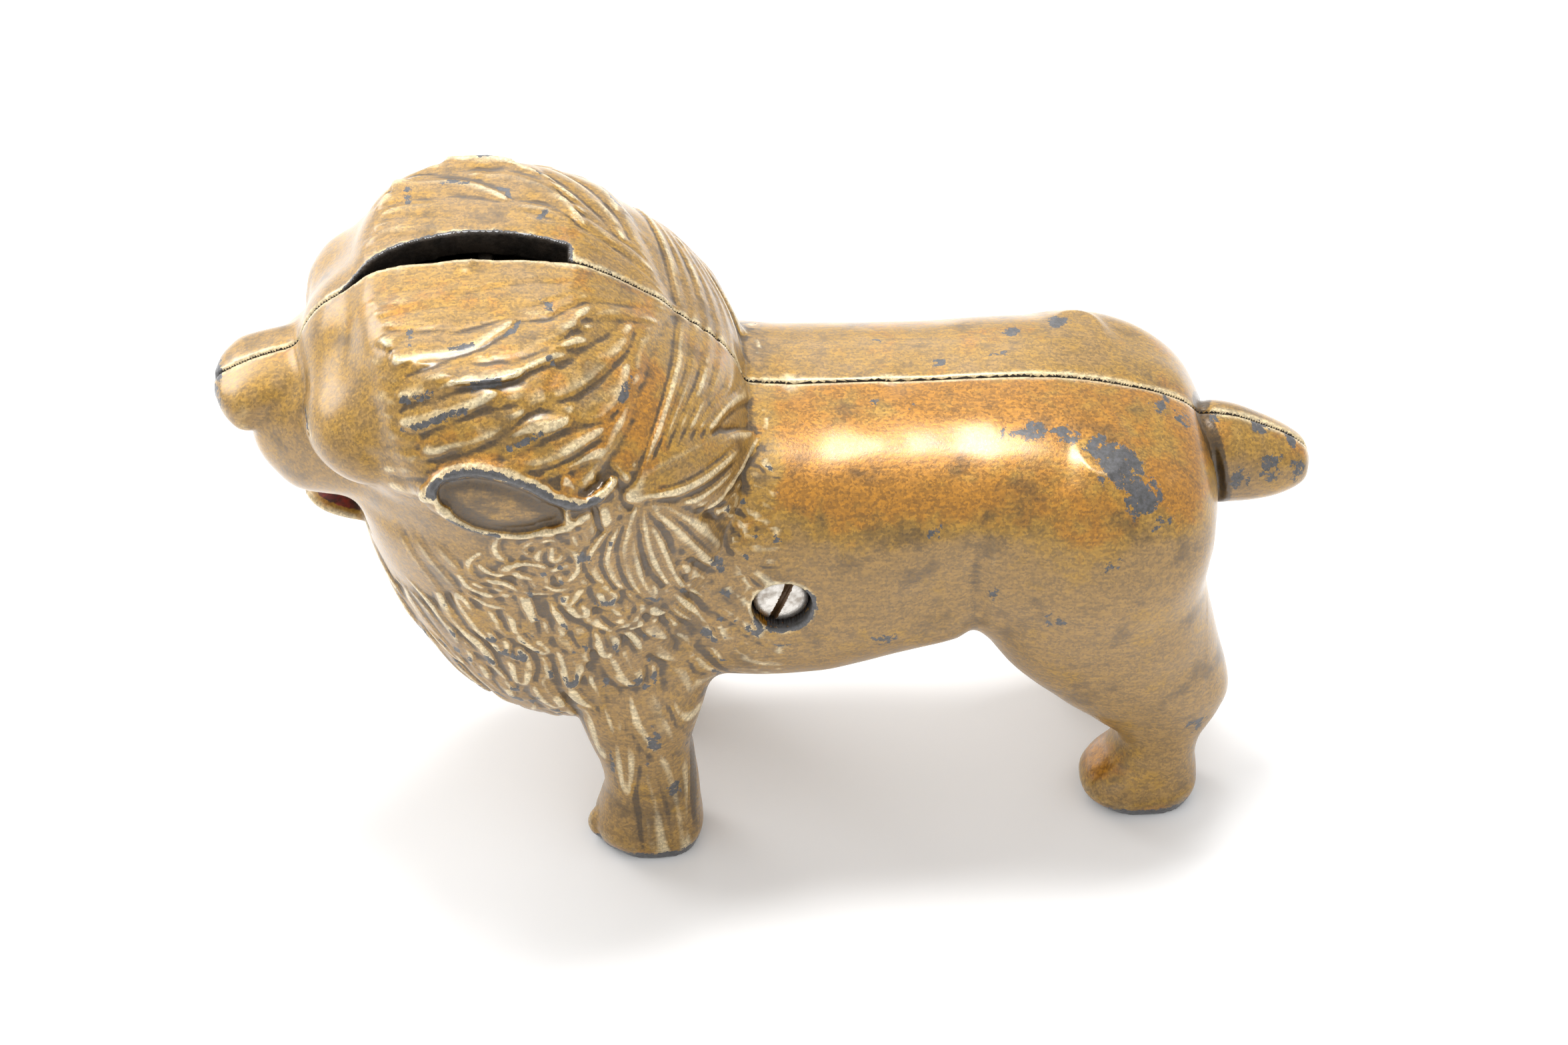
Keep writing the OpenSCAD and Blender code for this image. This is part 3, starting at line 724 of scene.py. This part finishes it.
def thinned(mesh, target):
    thing = bpy.data.objects.new("thinning", mesh)
    bpy.context.scene.collection.objects.link(thing)
    triangles = sum(len(p.vertices) - 2 for p in mesh.polygons)
    if triangles > target:
        step = thing.modifiers.new("thin", "DECIMATE")
        step.ratio = target / triangles
        step.use_collapse_triangulate = True
    bpy.context.view_layer.update()
    made = bpy.data.meshes.new_from_object(thing.evaluated_get(bpy.context.evaluated_depsgraph_get()))
    bpy.data.objects.remove(thing)
    return made


def vertexData(mesh):
    count = len(mesh.vertices)
    points, normals = np.empty(count * 3, np.float32), np.empty(count * 3, np.float32)
    mesh.vertices.foreach_get("co", points)
    mesh.vertices.foreach_get("normal", normals)
    edges = np.empty(len(mesh.edges) * 2, np.int32)
    mesh.edges.foreach_get("vertices", edges)
    return points.reshape(-1, 3) / mm, normals.reshape(-1, 3), edges.reshape(-1, 2)


# Average over each vertex's neighbours
def neighbourMean(values, edges, count, times=1):
    a, b = edges[:, 0], edges[:, 1]
    share = np.maximum(np.bincount(a, minlength=count) + np.bincount(b, minlength=count), 1)
    for k in range(times):
        total = np.bincount(a, values[b], count) + np.bincount(b, values[a], count)
        values = .5 * values + .5 * total / share
    return values


def storeValue(mesh, name, values):
    attribute = mesh.attributes.new(name, "FLOAT", "POINT")
    attribute.data.foreach_set("value", values.astype(np.float32))


def spots(points, places):
    best = np.zeros(len(points))
    for x, y, z, radius, value in places:
        d = np.linalg.norm((points - [x, y, z]) / radius, axis=1)
        best = np.maximum(best, value * (1 - smoothStep(.35, 1.25, d)))
    return best


# Where the paint is worn to the iron: x, y, z, radius, how bare
wornPlaces = [
    (40.5, -14, 58.2, 4.2, .72), (42.8, -16.5, 55.4, 3.6, .7), (38.2, -11.6, 60, 2.6, .66),
    (44.6, -17.4, 52.4, 2.6, .62), (30.5, -9.6, 61.2, 2.4, .62), (27, -10, 61.4, 1.6, .6),
    (34.5, -10, 60.8, 2.2, .62), (36, -18.6, 51, 2.2, .58), (39, -20, 48.6, 2.2, .58),
    (18, -19.4, 54, 1.5, .62), (47, -3, 59, 2.4, .58), (50, -4, 57.4, 2.2, .58),
    (30, 9, 61, 1.8, .62), (36, 12, 59.6, 2.6, .62), (20, 3, 61.7, 1.4, .6),
    (28, 4, 62, 1.6, .6), (13, 8, 61.6, 1.4, .56), (61, -5, 49, 2.8, .6), (64, -3, 47, 2.4, .6),
    (57, -5.2, 48, 2.2, .6), (54, -1, 55, 1.6, .66), (60, -1, 52.4, 1.8, .66), (64, -1, 50, 1.6, .64),
    (36, -1.5, 62, 1.4, .62), (44, -1.5, 60.6, 2, .66), (48, -1.2, 58.8, 1.8, .66), (12, -4, 62.2, 1.2, .6),
    (16, -5, 62, 1.2, .58), (-8, -14, 60, 1.6, .5), (25, -20.6, 44, 2, .52), (33, -21, 40, 2.4, .52),
    (12, -20, 37, 2.4, .5), (52, -15, 16, 2.4, .5), (-14, -18, 12, 2.2, .5),
]


def paintValues(mesh, side):
    points, normals, edges = vertexData(mesh)
    count = len(points)
    x, y, z = points.T
    away = np.abs(y)
    # How much each vertex stands above its neighbours, in millimetres
    rise = np.zeros(count)
    for c in range(3):
        rise += (points[:, c] - neighbourMean(points[:, c], edges, count, 6)) * normals[:, c]
    rise = neighbourMean(rise, edges, count, 2)
    fine = readMap(relief - soften(relief, 30), x, y, z) * smoothStep(1, -1, x)
    # crest sets a painted highlight where the surface stands up and painted shade where it sinks
    crest = rise / .12 + fine / .24
    # Painted shade: crest is lowered in the crevice beside the tail, the fold ahead of the thigh, deep
    # hollows of the relief such as the ear bowl, and the crease under the brow
    crest = crest - 2 * smoothStep(1.1, .1, stripField(x, away, z, cleftPath))
    crest = crest - .2 * thighFold(x, z) * (away > 8)
    crest = crest - .6 * smoothStep(-.3, -.6, readMap(relief, x, y, z))
    crest = np.clip(crest - .8 * smoothStep(.6, 0, stripField(x, away, z, browPath)), -1, 1)
    inside = (cavityField(x, away, z) < .35) | (slotField(x, away, z) < .25) & (z > crownZ - 12) & (y > 0)
    inside |= (away < .25) & (np.abs(normals[:, 1]) > .8)
    bore = np.hypot(x - screwX, z - screwZ)
    inside |= (bore < 3.2) & (away < 19)
    overJaw = np.hypot((x - jawOval[0][0]) / jawOval[1][0], away / jawOval[1][1])
    mouth = (ovalField(x, away, z, *mouthOval) < 1.4) & (overJaw < .9) & (z > jawOval[0][2] - .2) & (z < 54.6)
    bare = readMap(chips, x, y, z) * (z > 15)
    bare = np.maximum(bare, spots(points, wornPlaces))
    bare = np.maximum(bare, .9 * smoothStep(2.6, .6, z))
    bare = np.maximum(bare, .64 * smoothStep(noseX + 1.1, noseX - .1, x))
    bare = np.maximum(bare, .56 * smoothStep(.45, 0, stripField(x, away, z, browPath)) * (x < -50))
    # Painted shade: a dark iron-coloured crescent on the lower wall of the screw recess, carried in the bare
    # mark
    ring = smoothStep(-1.5, 2.5, (x - screwX) * .8 - (z - screwZ) * .6) * (y < -14)
    ring = ring * smoothStep(4.9, 3.9, bore)
    bare = np.maximum(bare, .68 * ring)
    slotEdge = (1 - smoothStep(.2, 1.0, np.abs(slotField(x, away, z)))) * (z > crownZ - 8) * (y > 0)
    bare = np.maximum(bare, .8 * slotEdge)
    # Painted reflection: amber where the surface faces up, tan at the sides, and the far half paler; less on
    # the face, rump, collar and crown
    warm = smoothStep(.05, .75, neighbourMean(normals[:, 2], edges, count, 12))
    warm = warm * (.35 + .65 * smoothStep(-50, -44, x)) * (1 if side < 0 else .4)
    collar = smoothStep(-17, -12, x) * smoothStep(1, -1, x) * smoothStep(50, 58, z)
    warm = warm * (1 - .35 * smoothStep(52, 56, x)) * (1 - .55 * collar) * (1 - .5 * smoothStep(75, 81, z))
    warm = np.maximum(warm, .8 * smoothStep(4, 1.5, z))
    storeValue(mesh, "crest", crest)
    storeValue(mesh, "bare", bare)
    storeValue(mesh, "warm", warm)
    storeValue(mesh, "mouth", neighbourMean(mouth.astype(float), edges, count, 1))
    corner = np.empty(len(mesh.loops), np.int32)
    mesh.loops.foreach_get("vertex_index", corner)
    starts = np.empty(len(mesh.polygons), np.int32)
    mesh.polygons.foreach_get("loop_start", starts)
    shareInside = np.add.reduceat(inside[corner].astype(float), starts)
    sizes = np.diff(np.append(starts, len(corner)))
    mesh.polygons.foreach_set("material_index", (shareInside / sizes > .6).astype(np.int32))
    mesh.polygons.foreach_set("use_smooth", np.ones(len(mesh.polygons), bool))


def finishCasting(name, points, faces, side, body, node, materials):
    if side < 0:
        points, faces = points * [1, -1, 1], faces[:, ::-1]
    mesh = thinned(meshFrom(name, points, faces), lionForm["faces"])
    mesh.name = name
    mesh.materials.clear()
    for material in materials:
        mesh.materials.append(material)
    paintValues(mesh, side)
    piece = bpy.data.objects.new(name, mesh)
    bpy.context.scene.collection.objects.link(piece)
    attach(piece, body)
    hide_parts(node)
    print("stage:", name, len(mesh.polygons), "faces")
    return piece


def linear(hexColour):
    values = [int(hexColour[i:i + 2], 16) / 255 for i in (1, 3, 5)]
    return [v / 12.92 if v <= .04045 else ((v + .055) / 1.055) ** 2.4 for v in values] + [1]


# Adds one node and gives back one of its outputs. Inputs are numbers, colours or sockets to link, and
# settings are the node's own values.
def addNode(tree, kind, inputs=(), output=0, **settings):
    node = tree.nodes.new(kind)
    for key, value in settings.items():
        setattr(node, key, value)
    for key, value in inputs.items() if isinstance(inputs, dict) else enumerate(inputs):
        if isinstance(value, bpy.types.NodeSocket):
            tree.links.new(value, node.inputs[key])
        else:
            node.inputs[key].default_value = value
    return node.outputs[output] if len(node.outputs) else None


def newMaterial(name):
    material = bpy.data.materials.new(name)
    material.use_nodes = True
    material.node_tree.nodes.clear()
    return material, material.node_tree


# Scale of a noise whose grain is a size in millimetres
def perMetre(size):
    return 1 / (size * mm)


valueNode, calcNode, rangeNode = "ShaderNodeAttribute", "ShaderNodeMath", "ShaderNodeMapRange"
noiseNode, mixNode = "ShaderNodeTexNoise", "ShaderNodeMix"
smooth = {"interpolation_type": "SMOOTHSTEP"}
blend = {"output": 2, "data_type": "RGBA"}
# Grain sizes are in millimetres. Real bronze flakes are under 0.1, and are drawn coarser so that they show.
# The dark brown serves both real stains and painted shade in valleys; the crest colour is a painted highlight
goldPaint = {
    "amber": "#96640A", "gold": "#906C1E", "tan": "#86662E", "shade": "#44300C", "crest": "#EADCB6",
    "iron": "#343331", "ironLight": "#4C4B4E", "red": "#8E1B14", "redDark": "#2C0B08",
    "flake": 0.28, "streak": 0.45, "fine": 0.55, "chip": 1.3, "blotch": 2.6, "stain": 5.5, "mottle": 9.0,
    "metallic": 0.26, "metallicWarm": 0.36, "roughness": 0.4, "coat": 0.65, "coatRoughness": 0.22,
    "bump": 0.12,
}


# Bronze powder paint brushed on cast iron: fine metal flakes, darker in patches where it is thick, worn to
# grey iron, with painted shade in valleys and a painted highlight on crests
def makeGoldPaint(name, sizes):
    material, tree = newMaterial(name)
    add = partial(addNode, tree)
    paint = {key: linear(value) for key, value in sizes.items() if isinstance(value, str)}
    place = add("ShaderNodeTexCoord", output="Object")
    crest, bare, warm, mouth = [add(valueNode, output="Fac", attribute_name=key)
                                for key in ("crest", "bare", "warm", "mouth")]
    along = add("ShaderNodeMapping", {"Vector": place, "Scale": (.22, 1, 1)})
    mottle, blotch, fine, streak, stain, speck = [
        add(noiseNode, {"Vector": where, "Scale": perMetre(sizes[key]), "Detail": detail, "Roughness": rough})
        for key, where, detail, rough in (
            ("mottle", place, 3, .6), ("blotch", place, 4, .65), ("fine", place, 3, .7),
            ("streak", along, 2, .6), ("stain", place, 4, .6), ("chip", place, 5, .7))]
    flakes = add("ShaderNodeTexVoronoi", {"Vector": place, "Scale": perMetre(sizes["flake"])}, "Color")
    sparkle = add("ShaderNodeSeparateColor", (flakes,))
    # Warm amber on top and dull tan at the sides as painted reflection, painted shade in valleys and a
    # painted highlight on crests, all broken by blotches
    warmth = add(calcNode, (mottle, 2.2, warm), operation="MULTIPLY_ADD")
    warmth = add(calcNode, (blotch, 1.5, warmth), operation="MULTIPLY_ADD")
    warmth = add(calcNode, (warmth, 1.85), operation="SUBTRACT")
    # Painted shade: where crest is low, with dark streaks, the paint is mixed towards dark brown
    valley = add(calcNode, (streak, .5, crest), operation="MULTIPLY_ADD")
    colour = paint["tan"]
    # The last step, the pale crest colour, is a painted highlight on raised relief
    for value, low, high, most, key in (
            (warmth, 0, .55, 1, "gold"), (warmth, .45, 1.05, 1, "amber"), (stain, .53, .7, .6, "shade"),
            (valley, .05, -.5, .95, "shade"), (crest, .3, 1, .5, "crest")):
        share = add(rangeNode, (value, low, high, 0, most), **smooth)
        colour = add(mixNode, {0: share, 6: colour, 7: paint[key]}, **blend)
    glint = add(rangeNode, (sparkle, 0, 1, .74, 1.26), **smooth)
    streakGlint = add(rangeNode, (streak, .3, .7, .84, 1.16), **smooth)
    glint = add(calcNode, (glint, streakGlint), operation="MULTIPLY")
    shine = add("ShaderNodeVectorMath", {0: colour, "Scale": glint}, operation="SCALE")
    # Chips: where the paint is marked as bare, and small ones on crests. The bare mark also carries a painted
    # shade crescent in the screw recess
    mark = add(calcNode, (bare, add(rangeNode, (crest, .5, 1, 0, .16), **smooth)), operation="ADD")
    mark = add(calcNode, (speck, 2, mark), operation="MULTIPLY_ADD")
    chip = add(rangeNode, (mark, 1.46, 1.54), **smooth)
    share = add(rangeNode, (fine, .3, .7), **smooth)
    iron = add(mixNode, {0: share, 6: paint["iron"], 7: paint["ironLight"]}, **blend)
    colour = add(mixNode, {0: chip, 6: shine, 7: iron}, **blend)
    # Red lacquer in the mouth
    share = add(rangeNode, (blotch, .35, .65), **smooth)
    red = add(mixNode, {0: share, 6: paint["red"], 7: paint["redDark"]}, **blend)
    inMouth = add(rangeNode, (mouth, .3, .7), **smooth)
    colour = add(mixNode, {0: inMouth, 6: colour, 7: red}, **blend)
    metal = add(rangeNode, (warmth, 0, 1, sizes["metallic"], sizes["metallicWarm"]), **smooth)
    for value, low, high, least in ((chip, 0, 1, .4), (mouth, .3, .7, 0)):
        share = add(rangeNode, (value, low, high, 1, least), **smooth)
        metal = add(calcNode, (metal, share), operation="MULTIPLY")
    rough = add(rangeNode, (sparkle, 0, 1, sizes["roughness"] - .05, sizes["roughness"] + .09), **smooth)
    rough = add(calcNode, (rough, add(rangeNode, (warm, 0, 1, .1, -.06), **smooth)), operation="ADD")
    rough = add(calcNode, (chip, .16, rough), operation="MULTIPLY_ADD")
    height = 0
    for value, weight in ((fine, .55), (sparkle, .12), (chip, -.35)):
        height = add(calcNode, (value, weight, height), operation="MULTIPLY_ADD")
    bump = add("ShaderNodeBump", {"Strength": .5, "Distance": sizes["bump"] * mm, "Height": height})
    shader = add("ShaderNodeBsdfPrincipled", {
        "Base Color": colour, "Metallic": metal, "Roughness": rough, "Normal": bump,
        "Coat Weight": sizes["coat"], "Coat Roughness": sizes["coatRoughness"]})
    add("ShaderNodeOutputMaterial", {"Surface": shader})
    return material


bareIron = {"dark": "#221D18", "light": "#3B3229", "coarse": 2.5, "fine": 0.5, "metallic": 0.35, "bump": 0.2}


# Bare sand-cast iron, brown-grey and rough, as it is inside the bank and on the cut edges
def makeBareIron(name, sizes):
    material, tree = newMaterial(name)
    add = partial(addNode, tree)
    place = add("ShaderNodeTexCoord", output="Object")
    coarse, fine = [
        add(noiseNode, {"Vector": place, "Scale": perMetre(sizes[key]), "Detail": detail, "Roughness": .6})
        for key, detail in (("coarse", 4), ("fine", 3))]
    share = add(rangeNode, (coarse, .35, .65), **smooth)
    colour = add(mixNode, {0: share, 6: linear(sizes["dark"]), 7: linear(sizes["light"])}, **blend)
    bump = add("ShaderNodeBump", {"Strength": .7, "Distance": sizes["bump"] * mm, "Height": fine})
    rough = add(rangeNode, (fine, .2, .8, .5, .75), **smooth)
    shader = add("ShaderNodeBsdfPrincipled", {
        "Base Color": colour, "Metallic": sizes["metallic"], "Roughness": rough, "Normal": bump})
    add("ShaderNodeOutputMaterial", {"Surface": shader})
    return material


screwSteel = {
    "bright": "#C9C5BF", "dull": "#8E857B", "grime": "#5A4128", "coarse": 1.6, "fine": 0.25, "bump": 0.1,
}


# Turned steel screw: bright where the driver and fingers rub, brown in the slot
def makeScrewSteel(name, sizes):
    material, tree = newMaterial(name)
    add = partial(addNode, tree)
    place = add("ShaderNodeTexCoord", output="Object")
    coarse, fine = [
        add(noiseNode, {"Vector": place, "Scale": perMetre(sizes[key]), "Detail": detail, "Roughness": .6})
        for key, detail in (("coarse", 4), ("fine", 3))]
    share = add(rangeNode, (coarse, .35, .7), **smooth)
    colour = add(mixNode, {0: share, 6: linear(sizes["bright"]), 7: linear(sizes["dull"])}, **blend)
    dirt = add(valueNode, output="Fac", attribute_name="dirt")
    grime = add(calcNode, (fine, .5, dirt), operation="MULTIPLY_ADD")
    grime = add(calcNode, (grime, .25), operation="SUBTRACT")
    share = add(rangeNode, (grime, .35, .7), **smooth)
    colour = add(mixNode, {0: share, 6: colour, 7: linear(sizes["grime"])}, **blend)
    metal = add(rangeNode, (grime, .35, .7, .95, .3), **smooth)
    rough = add(rangeNode, (coarse, .3, .7, .22, .42), **smooth)
    bump = add("ShaderNodeBump", {"Strength": .35, "Distance": sizes["bump"] * mm, "Height": fine})
    shader = add("ShaderNodeBsdfPrincipled", {
        "Base Color": colour, "Metallic": metal, "Roughness": rough, "Normal": bump})
    add("ShaderNodeOutputMaterial", {"Surface": shader})
    return material


goldMaterial = makeGoldPaint("bronze powder paint on cast iron", goldPaint)
ironMaterial = makeBareIron("bare sand-cast iron", bareIron)
steelMaterial = makeScrewSteel("turned steel", screwSteel)
print("stage: materials")

step = lionForm["voxel"]
sideClay = buildSide(step)
for name, side, body, node, slotName in (
        ("leftCasting", -1, "left_half", "left_half", "gold_paint_left"),
        ("rightCasting", 1, "right_half", "right_half", "gold_paint_right")):
    points, faces = castSide(sideClay.copy(), side < 0)
    finishCasting(name, points, faces, side, body, node, [goldMaterial, ironMaterial])

screwForm = {
    "headDiameter": 6.9, "headHeight": 2.5, "shank": 3.5, "root": 2.7, "pitch": 0.79,
    "slotWidth": 0.9, "slotDepth": 1.3, "slotTilt": 21.0, "threadLength": 20.0, "segments": 64,
    "edge": 0.12,
}


def turnProfile(profile, segments):
    mesh = bmesh.new()
    rings = []
    for radius, y in profile:
        if radius == 0:
            rings.append([mesh.verts.new((0, y * mm, 0))])
        else:
            turns = [2 * math.pi * k / segments for k in range(segments)]
            ring = [(radius * mm * math.cos(a), y * mm, radius * mm * math.sin(a)) for a in turns]
            rings.append([mesh.verts.new(point) for point in ring])
    for one, two in zip(rings, rings[1:]):
        for k in range(segments):
            n = (k + 1) % segments
            if len(one) == 1:
                mesh.faces.new((one[0], two[k], two[n]))
            elif len(two) == 1:
                mesh.faces.new((one[k], two[0], one[n]))
            else:
                mesh.faces.new((one[k], two[k], two[n], one[n]))
    bmesh.ops.recalc_face_normals(mesh, faces=mesh.faces)
    return mesh


def makeScrew(sizes):
    seat = screwLow.y + sizes["headHeight"]
    tip = screwHigh.y
    r, h = sizes["headDiameter"] / 2, sizes["headHeight"]
    profile = [(0, screwLow.y)]
    for k in range(1, 13):
        share = k / 12
        profile.append((r * .96 * share, screwLow.y + h * (.13 * share ** 2 + .1 * share ** 8)))
    profile += [(r, seat - h * .42)]
    profile += [(r, seat - .18), (r - .12, seat), (sizes["shank"] / 2, seat)]
    plain = tip - sizes["threadLength"]
    profile += [(sizes["shank"] / 2, plain), (sizes["root"] / 2, plain + .5), (sizes["root"] / 2, tip - .5),
                (sizes["root"] / 2 - .4, tip), (0, tip)]
    mesh = turnProfile(profile, sizes["segments"])
    body = bpy.data.meshes.new("clampScrew")
    mesh.to_mesh(body)
    mesh.free()
    screw = bpy.data.objects.new("screwBlank", body)
    bpy.context.scene.collection.objects.link(screw)
    # Driver slot
    cutter = bmesh.new()
    bmesh.ops.create_cube(cutter, size=1)
    wide, deep = sizes["slotWidth"] * mm, 2 * sizes["slotDepth"] * mm
    bmesh.ops.scale(cutter, vec=(wide, deep, 12 * mm), verts=cutter.verts)
    tilt = Matrix.Rotation(math.radians(sizes["slotTilt"]), 3, "Y")
    bmesh.ops.rotate(cutter, verts=cutter.verts, matrix=tilt)
    bmesh.ops.translate(cutter, vec=(0, screwLow.y * mm, 0), verts=cutter.verts)
    cutMesh = bpy.data.meshes.new("driverSlot")
    cutter.to_mesh(cutMesh)
    cutter.free()
    cutObject = bpy.data.objects.new("driverSlot", cutMesh)
    bpy.context.scene.collection.objects.link(cutObject)
    cut = screw.modifiers.new("slot", "BOOLEAN")
    cut.operation, cut.object, cut.solver = "DIFFERENCE", cutObject, "EXACT"
    soft = screw.modifiers.new("edge", "BEVEL")
    soft.width, soft.segments = sizes["edge"] * mm, 2
    soft.limit_method, soft.angle_limit = "ANGLE", math.radians(40)
    bpy.context.view_layer.update()
    made = bpy.data.meshes.new_from_object(screw.evaluated_get(bpy.context.evaluated_depsgraph_get()))
    bpy.data.objects.remove(screw)
    bpy.data.objects.remove(cutObject)
    mesh = bmesh.new()
    mesh.from_mesh(made)
    bmesh.ops.remove_doubles(mesh, verts=mesh.verts, dist=.02 * mm)
    bmesh.ops.dissolve_degenerate(mesh, edges=mesh.edges, dist=.01 * mm)
    mesh.to_mesh(made)
    mesh.free()
    made.transform(Matrix.Translation((screwX * mm, 0, screwZ * mm)))
    made.name = "clampScrew"
    made.materials.clear()
    made.materials.append(steelMaterial)
    points, normals, edges = vertexData(made)
    a = math.radians(sizes["slotTilt"])
    across = np.abs((points[:, 0] - screwX) * math.cos(a) - (points[:, 2] - screwZ) * math.sin(a))
    inSlot = (across < sizes["slotWidth"] / 2 + .04) & (points[:, 1] < seat)
    rim = smoothStep(r - .25, r + .1, np.hypot(points[:, 0] - screwX, points[:, 2] - screwZ))
    storeValue(made, "dirt", np.maximum(inSlot * 1.0, (.2 * rim)))
    made.polygons.foreach_set("use_smooth", np.ones(len(made.polygons), bool))
    piece = bpy.data.objects.new("clampScrew", made)
    bpy.context.scene.collection.objects.link(piece)
    return piece


# Thread as a tree of nodes: a helix swept by a triangle
def threadTree(material):
    tree = bpy.data.node_groups.new("screwThread", "GeometryNodeTree")
    tree.interface.new_socket("Geometry", in_out="OUTPUT", socket_type="NodeSocketGeometry")
    for name in ("Turns", "Root radius", "Length", "Depth"):
        tree.interface.new_socket(name, in_out="INPUT", socket_type="NodeSocketFloat")
    given = tree.nodes.new("NodeGroupInput").outputs
    helix = addNode(tree, "GeometryNodeCurveSpiral", {
        "Resolution": 24, "Rotations": given["Turns"], "Start Radius": given["Root radius"],
        "End Radius": given["Root radius"], "Height": given["Length"]})
    shape = addNode(tree, "GeometryNodeCurvePrimitiveCircle", {"Resolution": 3, "Radius": given["Depth"]})
    swept = addNode(tree, "GeometryNodeCurveToMesh", {
        "Curve": helix, "Profile Curve": shape, "Fill Caps": True})
    real = addNode(tree, "GeometryNodeRealizeInstances", (swept,))
    coated = addNode(tree, "GeometryNodeSetMaterial", {"Geometry": real, "Material": material})
    addNode(tree, "NodeGroupOutput", (coated,))
    return tree


def makeThread(sizes):
    holder = bpy.data.objects.new("threadBlank", bpy.data.meshes.new("threadBlank"))
    bpy.context.scene.collection.objects.link(holder)
    step = holder.modifiers.new("thread", "NODES")
    step.node_group = threadTree(steelMaterial)
    length = sizes["threadLength"] - 1.6
    values = {"Turns": length / sizes["pitch"], "Root radius": sizes["root"] / 2 * mm,
              "Length": length * mm, "Depth": (sizes["shank"] - sizes["root"]) / 2 * mm}
    for item in step.node_group.interface.items_tree:
        if item.in_out == "INPUT":
            step[item.identifier] = float(values[item.name])
    bpy.context.view_layer.update()
    made = bpy.data.meshes.new_from_object(holder.evaluated_get(bpy.context.evaluated_depsgraph_get()))
    holder.modifiers.remove(step)
    bpy.data.objects.remove(holder)
    made.transform(Matrix.Rotation(math.radians(-90), 4, "X"))
    made.transform(Matrix.Translation((screwX * mm, (screwHigh.y - .8 - length) * mm, screwZ * mm)))
    mesh = bmesh.new()
    mesh.from_mesh(made)
    bmesh.ops.recalc_face_normals(mesh, faces=mesh.faces)
    mesh.to_mesh(made)
    mesh.free()
    made.name = "screwThread"
    if not made.materials:
        made.materials.append(steelMaterial)
    storeValue(made, "dirt", np.full(len(made.vertices), .3))
    piece = bpy.data.objects.new("screwThread", made)
    bpy.context.scene.collection.objects.link(piece)
    return piece


screw = makeScrew(screwForm)
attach(screw, "clamp_screw")
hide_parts("clamp_screw")
thread = makeThread(screwForm)
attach(thread, "clamp_screw")
print("stage: screw", len(screw.data.polygons), len(thread.data.polygons), "faces")

studio = {
    "floor": "#F2F2F2", "world": 1.0,
    # Softboxes, in metres and watts: place, height of the aim, size, power
    "overheadSoftbox": ((-.05, .18, .95), .04, (.36, .28), 9.5),
    "rearSoftbox": ((-.4, .95, .7), .05, (1.5, .6), 5),
    "sideSoftbox": ((-.75, .6, .45), .05, (.5, .4), 3.5),
}


def makeFloor(colour):
    mesh = bpy.data.meshes.new("floor")
    mesh.from_pydata([(-3, -3, 0), (3, -3, 0), (3, 3, 0), (-3, 3, 0)], [], [(0, 1, 2, 3)])
    material, tree = newMaterial("pale paper floor")
    shader = addNode(tree, "ShaderNodeBsdfPrincipled", {
        "Base Color": linear(colour), "Roughness": .85, "Specular IOR Level": .2})
    addNode(tree, "ShaderNodeOutputMaterial", {"Surface": shader})
    mesh.materials.append(material)
    floor = bpy.data.objects.new("floor", mesh)
    bpy.context.scene.collection.objects.link(floor)


def addSoftbox(name, place, aimHeight, size, power):
    light = bpy.data.objects.new(name, bpy.data.lights.new(name, "AREA"))
    light.data.shape, light.data.size, light.data.size_y = "RECTANGLE", size[0], size[1]
    light.data.energy = power
    light.location = place
    light.rotation_mode = "QUATERNION"
    light.rotation_quaternion = (Vector((0, 0, aimHeight)) - Vector(place)).to_track_quat("-Z", "Y")
    bpy.context.scene.collection.objects.link(light)


makeFloor(studio["floor"])
for name in ("overheadSoftbox", "rearSoftbox", "sideSoftbox"):
    addSoftbox(name, *studio[name])
world = bpy.data.worlds.new("studio")
bpy.context.scene.world = world
world.use_nodes = True
world.node_tree.nodes["Background"].inputs["Color"].default_value = (1, 1, 1, 1)
world.node_tree.nodes["Background"].inputs["Strength"].default_value = studio["world"]
bpy.context.scene.view_settings.view_transform = "Standard"
print("stage: studio")
